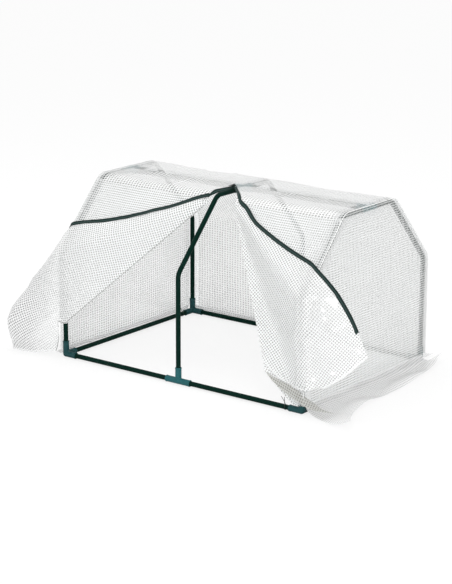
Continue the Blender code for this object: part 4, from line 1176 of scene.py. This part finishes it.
def end_skirt_rows(side, hem):
    count, wall = len(hem), COVER_OFFSET
    backs = steps(2 * HALF_DEPTH - END_IN, END_IN, count - 1)
    tops = [beside(side, wall, back, SKIRT_TOP) for back in backs]
    knee = [beside(side, wall + KNEE_OUT, back, SKIRT_TOP * 0.5) for back in backs]
    hems = [beside(side, *place) for place in hem]
    high = rippled(count, 0.012, 2.5, 1.0)
    near = [a.lerp(b, 0.35) for a, b in zip(knee, hems)]
    for point, h in zip(near, high):
        point.z = LYING + 0.002 + 0.4 * h
    far = [a.lerp(b, 0.75) for a, b in zip(knee, hems)]
    for point, b, h in zip(far, hems, high):
        point.z = LYING + 0.4 * (b.z - LYING) + h
    return [tops, knee, near, far, hems]


def front_skirt_rows():
    lap = COVER_OFFSET + CLOTH + 2 * GAP
    top, middle, hem = [[beside(1, *place) for place in row] for row in (
        ((-0.075, -lap, 0.098), (-0.020, -lap, 0.086), (0.012, -0.009, 0.064), (0.034, 0.012, 0.042)),
        ((-0.118, -lap, 0.104), (-0.064, -lap, 0.078), (-0.014, -0.0165, 0.062), (0.030, -0.014, 0.042),
         (0.074, 0.004, 0.030)),
        ((-0.104, -0.0145, 0.091), (-0.050, -0.0165, 0.062), (0.000, -0.020, 0.043), (0.056, -0.024, 0.030),
         (0.118, 0.006, 0.024)),
    )]
    return [[Vector((RIGHT_FOLD_X + 0.002, -HALF_DEPTH - lap, RIGHT_FOLD_FOOT))] + top, middle, hem]


print("the right skirt's hem lies up to", round(max(place[0] for place in RIGHT_HEM), 3), "m from the end hoop")

# %% [markdown]
# A strip stays smooth where it is sewn to the wall, and is wrinkled where it lies on the ground. The one at the
# front right corner lies on other cloth, so it is wrinkled all over, and its film is denser. Its threads are grey:
# painted shade, for the shade where it is folded under.

# %% Skirt strips
def skirt(name, rows, down, across, node, seed, look=SKIRT_FILM, under="floor"):
    points = cloth_points(rows, down, across)
    sheet = grid_mesh(name, points)
    unwrap(sheet, across, 0)
    set_layer(sheet, "net", [(v.y, v.x) for v in get_layer(sheet, "net")])
    set_hem(sheet, points, with_ends=True)

    def height(p, u, v):
        free = ramp(0.028 - p.z, 0.01) if under == "floor" else 1
        soft = 0.0011 * billow(u, v, 0.05, seed) + 0.0012 * crease(u, v, 0.09, seed + 2)
        return free * max(0, soft) * (1 if p.z > 0.004 else 0.3)

    wrinkle(sheet, height)
    dress(sheet, look, "cover", (node,))


skirt("rear_skirt_strip", rear_skirt_rows(), 14, 130, "rear_skirt", 1.7)
skirt("right_skirt_strip", end_skirt_rows(1, RIGHT_HEM), 20, 96, "right_skirt", 2.9)
skirt("left_skirt_strip", end_skirt_rows(-1, LEFT_HEM), 20, 96, "left_skirt", 4.3)
# The corner strip takes the film with painted shade.
skirt(
    "front_right_skirt_strip", front_skirt_rows(), 14, 48, "front_skirt_right", 5.9, SHADED_CORNER_FILM, "right_fixed_front",
)

# %% [markdown]
# ## Piping
# The end panels are joined to the main panel with a corded seam: a strip of white cloth sewn round a thin cord. It is
# a round tube on the section's line, with a woven bump across it.

# %% Piping look and seams
def add_ribs(m, place, width):
    """Slanting ribs of a width."""
    x, y, z = add_parts(m, place)
    return add_math(m, "PINGPONG", add_math(m, "ADD", add_math(m, "ADD", x, y), z), width)


def white_tape():
    m = new_material("white_woven_tape")
    place = place_in_object(m)
    colour = add_blend(m, add_noise(m, place, 40), (0.80, 0.81, 0.80), (0.90, 0.90, 0.90))
    ribs = add_ribs(m, place, 0.0007)
    return add_shader(m, Base_Color=colour, Roughness=0.62, Normal=add_bump(m, ribs, 0.3, 0.5))


WHITE_TAPE = white_tape()


def add_piping(name, side, node):
    out = side * (HALF_SPAN + COVER_EDGE + GAP + PIPING_RADIUS)
    places = [Vector((out, p.y, p.z)) for p in section(COVER_OFFSET, WALL_FOOT, 12)]
    set_piece(add_rod(name, places, PIPING_RADIUS, 14, WHITE_TAPE), "cover", "piping", node)
    print(name, "is", round(runs_of(places)[-1], 3), "m long")


for side_name, side in SIDES:
    add_piping(f"{side_name}_corded_seam", side, f"{side_name}_end_piping")

# %% [markdown]
# ## Zip
# The zip is two woven dark green tapes with a row of nylon coils on the edge of each. The tape is a narrow sheet sewn
# along the flap's free edge, and the coils are a thin tube whose rings swell and narrow. The flaps carry most of
# it, and the last stretch runs over the roof to the slider at the slit's upper end. There the left tape is drawn
# over the centre hoop and leans down beside it, and the right one lies towards the slit.

# %% Zip look
TAPE_WIDTH, TAPE_LIFT, COIL_RADIUS, COIL_PITCH = 0.012, 0.0013, 0.0014, 0.0015
TAPE_STEP, COIL_SIDES, COIL_NECK, WEAVE = 0.004, 8, 0.72, 0.0005
PROFILE = ((0.0, 0.0), (0.12, 0.0003), (0.3, 0.0006), (0.5, 0.0007), (0.7, 0.0006), (0.88, 0.0003), (1.0, -0.0004))


def zip_tape_look():
    m = new_material("green_zip_tape")
    flat = add_pattern(m, "net")
    across, along, _ = add_parts(m, flat)
    weave = add_math(m, "ADD", add_math(m, "PINGPONG", along, WEAVE), add_math(m, "PINGPONG", across, WEAVE))
    stripe = add_math(m, "ABSOLUTE", add_math(m, "SUBTRACT", across, 0.0062))
    middle = add_span(m, stripe, 0.0014, 0.0030, 1.0, 0.0)
    worn = add_noise(m, flat, 60, 4)
    base = add_blend(m, worn, (0.005, 0.014, 0.012), (0.010, 0.025, 0.022))
    colour = add_blend(m, middle, base, (0.026, 0.050, 0.046))
    woven = add_bump(m, weave, 0.5, 0.6)
    return add_shader(m, Base_Color=colour, Roughness=0.72, Specular_IOR_Level=0.15, Normal=woven)


def coil_look():
    m = new_material("green_nylon_coil")
    place = place_in_object(m)
    colour = add_blend(m, add_noise(m, place, 90), (0.006, 0.016, 0.014), (0.014, 0.032, 0.028))
    nylon = add_bump(m, add_noise(m, place, 700), 0.0002, 0.4)
    return add_shader(m, Base_Color=colour, Roughness=0.34, Specular_IOR_Level=0.2, Normal=nylon)


ZIP_TAPE, COIL = zip_tape_look(), coil_look()
print("made", ZIP_TAPE.name, "and", COIL.name)

# %% [markdown]
# The tape follows the flap as it now lies, wrinkles and all, so its places are read from the flap's own grid: the
# free edge is the last column, and the column beside it shows which way is inward.

# %% Tapes and coils
def follow(line, spacing):
    """Places at an even spacing along a line, each with the direction of the line there."""
    made, due, run = [], 0.0, 0.0
    for a, b in zip(line, line[1:]):
        length = (b[0] - a[0]).length
        while length > 1e-9 and due <= run + length:
            share = (due - run) / length
            made.append([p.lerp(q, share) for p, q in zip(a, b)])
            due += spacing
        run += length
    return made


def add_tape(name, line, body, node):
    """A tape and its coils along a line of places, each with its inward and its outward direction."""
    places = follow(line, TAPE_STEP)
    points = [
        [edge + inward.normalized() * (TAPE_WIDTH * at) + out.normalized() * (TAPE_LIFT + high) for at, high in PROFILE]
        for edge, inward, out in places
    ]
    tape = grid_mesh(name, points)
    set_layer(tape, "net", [(TAPE_WIDTH * at, TAPE_STEP * k) for k in range(len(points)) for at, _ in PROFILE])
    tape.data.materials.append(ZIP_TAPE)
    set_piece(tape, body, "tape", node)
    rings, verts, faces = follow(line, COIL_PITCH / 2), [], []
    for k, (edge, inward, out) in enumerate(rings):
        inward, out = inward.normalized(), out.normalized()
        centre = edge - inward * 0.0008 + out * (TAPE_LIFT + 0.0002)
        radius = COIL_RADIUS * (1.0 if k % 2 else COIL_NECK)
        for turn in range(COIL_SIDES):
            angle = 2 * math.pi * turn / COIL_SIDES
            verts.append(centre + (inward * math.cos(angle) + out * math.sin(angle)) * radius)
            if k:
                a, b = (k - 1) * COIL_SIDES + turn, (k - 1) * COIL_SIDES + (turn + 1) % COIL_SIDES
                faces.append((a, b, b + COIL_SIDES, a + COIL_SIDES))
    mesh = new_mesh(f"{name}_coils", verts, faces)
    mesh.shade_smooth()
    set_piece(add_object(f"{name}_coils", mesh, COIL), body, "tape")

# %% [markdown]
# Each tape is in two pieces, because the flap can be let down while the roof's stretch stays where it is. They meet
# at the drawn corner of the flap, and there both are turned to point straight down the slope.

# %% Lines of the zip
CORNER_OUT = (SLOPE_NORMAL + Vector((0, 0, 1))).normalized()
TURN_LENGTH, CORNER_LIFT, LAST_ROW = 0.045, 0.0045, 88
CORNERS = {
    side: slope_point(APEX_X[side], BEND_SHARE, COVER_OFFSET + CORNER_LIFT) + CORNER_SHIFT[side] for _, side in SIDES
}
LEAN = {-1: Vector((0.85, 0, -0.5)), 1: Vector((-1, 0, 0))}


def turned(place, inward, out, corner):
    """Near the corner the flap's and the roof's tape both point straight down the slope."""
    share = faded((place - corner).length, TURN_LENGTH)
    return place, inward.lerp(-UPWARD_SLOPE, share).normalized(), out.lerp(CORNER_OUT, share).normalized()


def flap_edge(side):
    """The flap's free edge, from its upper corner to a row of its grid."""
    wide, vertices, corner = FLAP_ACROSS + 1, FLAPS[side].data.vertices, CORNERS[side]
    line = [turned(corner, -UPWARD_SLOPE, CORNER_OUT, corner)]
    for row in range(2, LAST_ROW + 1):
        edge, inner = vertices[(row + 1) * wide - 1], vertices[(row + 1) * wide - 2]
        line.append(turned(edge.co.copy(), (inner.co - edge.co).normalized(), edge.normal.copy(), corner))
    return line


def roof_edge(side):
    """The zip's line on the roof, from the corner to the slit's upper end, with the way the tape leans there."""
    corner, lean, half = CORNERS[side], LEAN[side], side * SLIT_HALF
    line = [p for p in section(COVER_OFFSET, WALL_FOOT, PANEL_BEND_STEPS) if corner.y + 0.003 < p.y < -SLIT_TOP]
    line.append(Vector((0, -SLIT_TOP, TOP_Z + COVER_OFFSET)))
    made = [turned(corner, lean, CORNER_OUT, corner)]
    for k, p in enumerate(line):
        before, after = line[max(0, k - 1)], line[min(len(line) - 1, k + 1)]
        out = Vector((0, -(after - before).z, (after - before).y)).normalized()
        share = (p.y + SLIT_TOP) / (corner.y + SLIT_TOP)
        made.append(turned(Vector((half + (corner.x - half) * share, p.y, p.z)), lean.normalized(), out, corner))
    return made


for side_name, side in SIDES:
    add_tape(f"{side_name}_flap_zip", flap_edge(side), f"{side_name}_flap", f"{side_name}_flap_tape")
for side_name, side in SIDES:
    add_tape(f"{side_name}_roof_zip", roof_edge(side), "cover", f"zip_tape_roof_{side_name}")

# %% [markdown]
# ## Slider and pull
# The slider and its pull are small die-cast pieces with a dark painted finish that wears bright at the edges. Their
# solids already have the right shapes, so they keep them, with a better finish.

# %% Painted metal
def painted_metal():
    m = new_material("dark_painted_casting")
    place = place_in_object(m)
    spots = add_span(m, add_noise(m, place, 900, 5, 0.7), 0.62, 0.70)
    colour = add_blend(m, spots, (0.014, 0.022, 0.020), (0.20, 0.21, 0.21))
    rough = add_span(m, add_noise(m, place, 120), 0.3, 0.7, 0.28, 0.48)
    return add_shader(m, Base_Color=colour, Metallic=0.6, Roughness=rough, Normal=add_bump(m, spots, -0.0001, 0.5))


METAL = painted_metal()
for name in ("zip_slider", "zip_pull"):
    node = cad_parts[name]
    node.data.materials.clear()
    node.data.materials.append(METAL)
print("painted", METAL.name)

# %% [markdown]
# ## Ties
# Thin cords are sewn inside the cover near its corners. Each goes down round a rail and back up beside itself, and
# so ties the cover down. A smooth curve through the same places as the solid gives its run.

# %% Cord look and ties
def cord_look():
    m = new_material("dark_braided_cord")
    place = place_in_object(m)
    colour = add_blend(m, add_noise(m, place, 300), (0.010, 0.016, 0.014), (0.030, 0.042, 0.038))
    return add_shader(m, Base_Color=colour, Roughness=0.85, Normal=add_bump(m, add_ribs(m, place, 0.0006), 0.4, 0.6))


CORD = cord_look()
TIE_RADIUS, TIE_IN, TIE_APART, TIE_STEPS = 0.0008, 0.058, 0.012, 90
RIGHT_TIE_TOP, LEFT_TIE_TOP = 0.046, 0.050


def add_tie(corner, foot, along, outward, top):
    foot, along, outward = Vector(foot), Vector(along), Vector(outward)
    upward = Vector((0, 0, 1))
    ring = TUBE_RADIUS + GAP + TIE_RADIUS
    held = COVER_OFFSET - CLOTH / 2 - GAP - TIE_RADIUS
    route = [outward * held + upward * (top - RAIL_Z), outward * (ring + 0.0004) + upward * 0.006]
    route += [
        outward * (ring * math.cos(a)) + upward * (ring * math.sin(a)) + along * (TIE_APART * k / 12)
        for k, a in enumerate(math.radians(-30 * k) for k in range(7))
    ]
    route += [
        -outward * (ring * 0.75) + upward * (ring * 0.95) + along * (TIE_APART * 0.75),
        outward * held + upward * (top - RAIL_Z) + along * TIE_APART,
    ]
    places = [spline(route, at) + foot for at in steps(0, 1, TIE_STEPS)]
    set_piece(add_rod(f"{corner}_cord", places, TIE_RADIUS, 12, CORD), "frame", "tie", f"{corner}_tie")
    print(corner, "cord is", round(runs_of(places)[-1], 3), "m long")


add_tie("front_right", (HALF_SPAN - TIE_IN, -HALF_DEPTH, RAIL_Z), (-1, 0, 0), (0, -1, 0), RIGHT_TIE_TOP)
add_tie("rear_left", (-HALF_SPAN, HALF_DEPTH - TIE_IN, RAIL_Z), (0, -1, 0), (-1, 0, 0), LEFT_TIE_TOP)
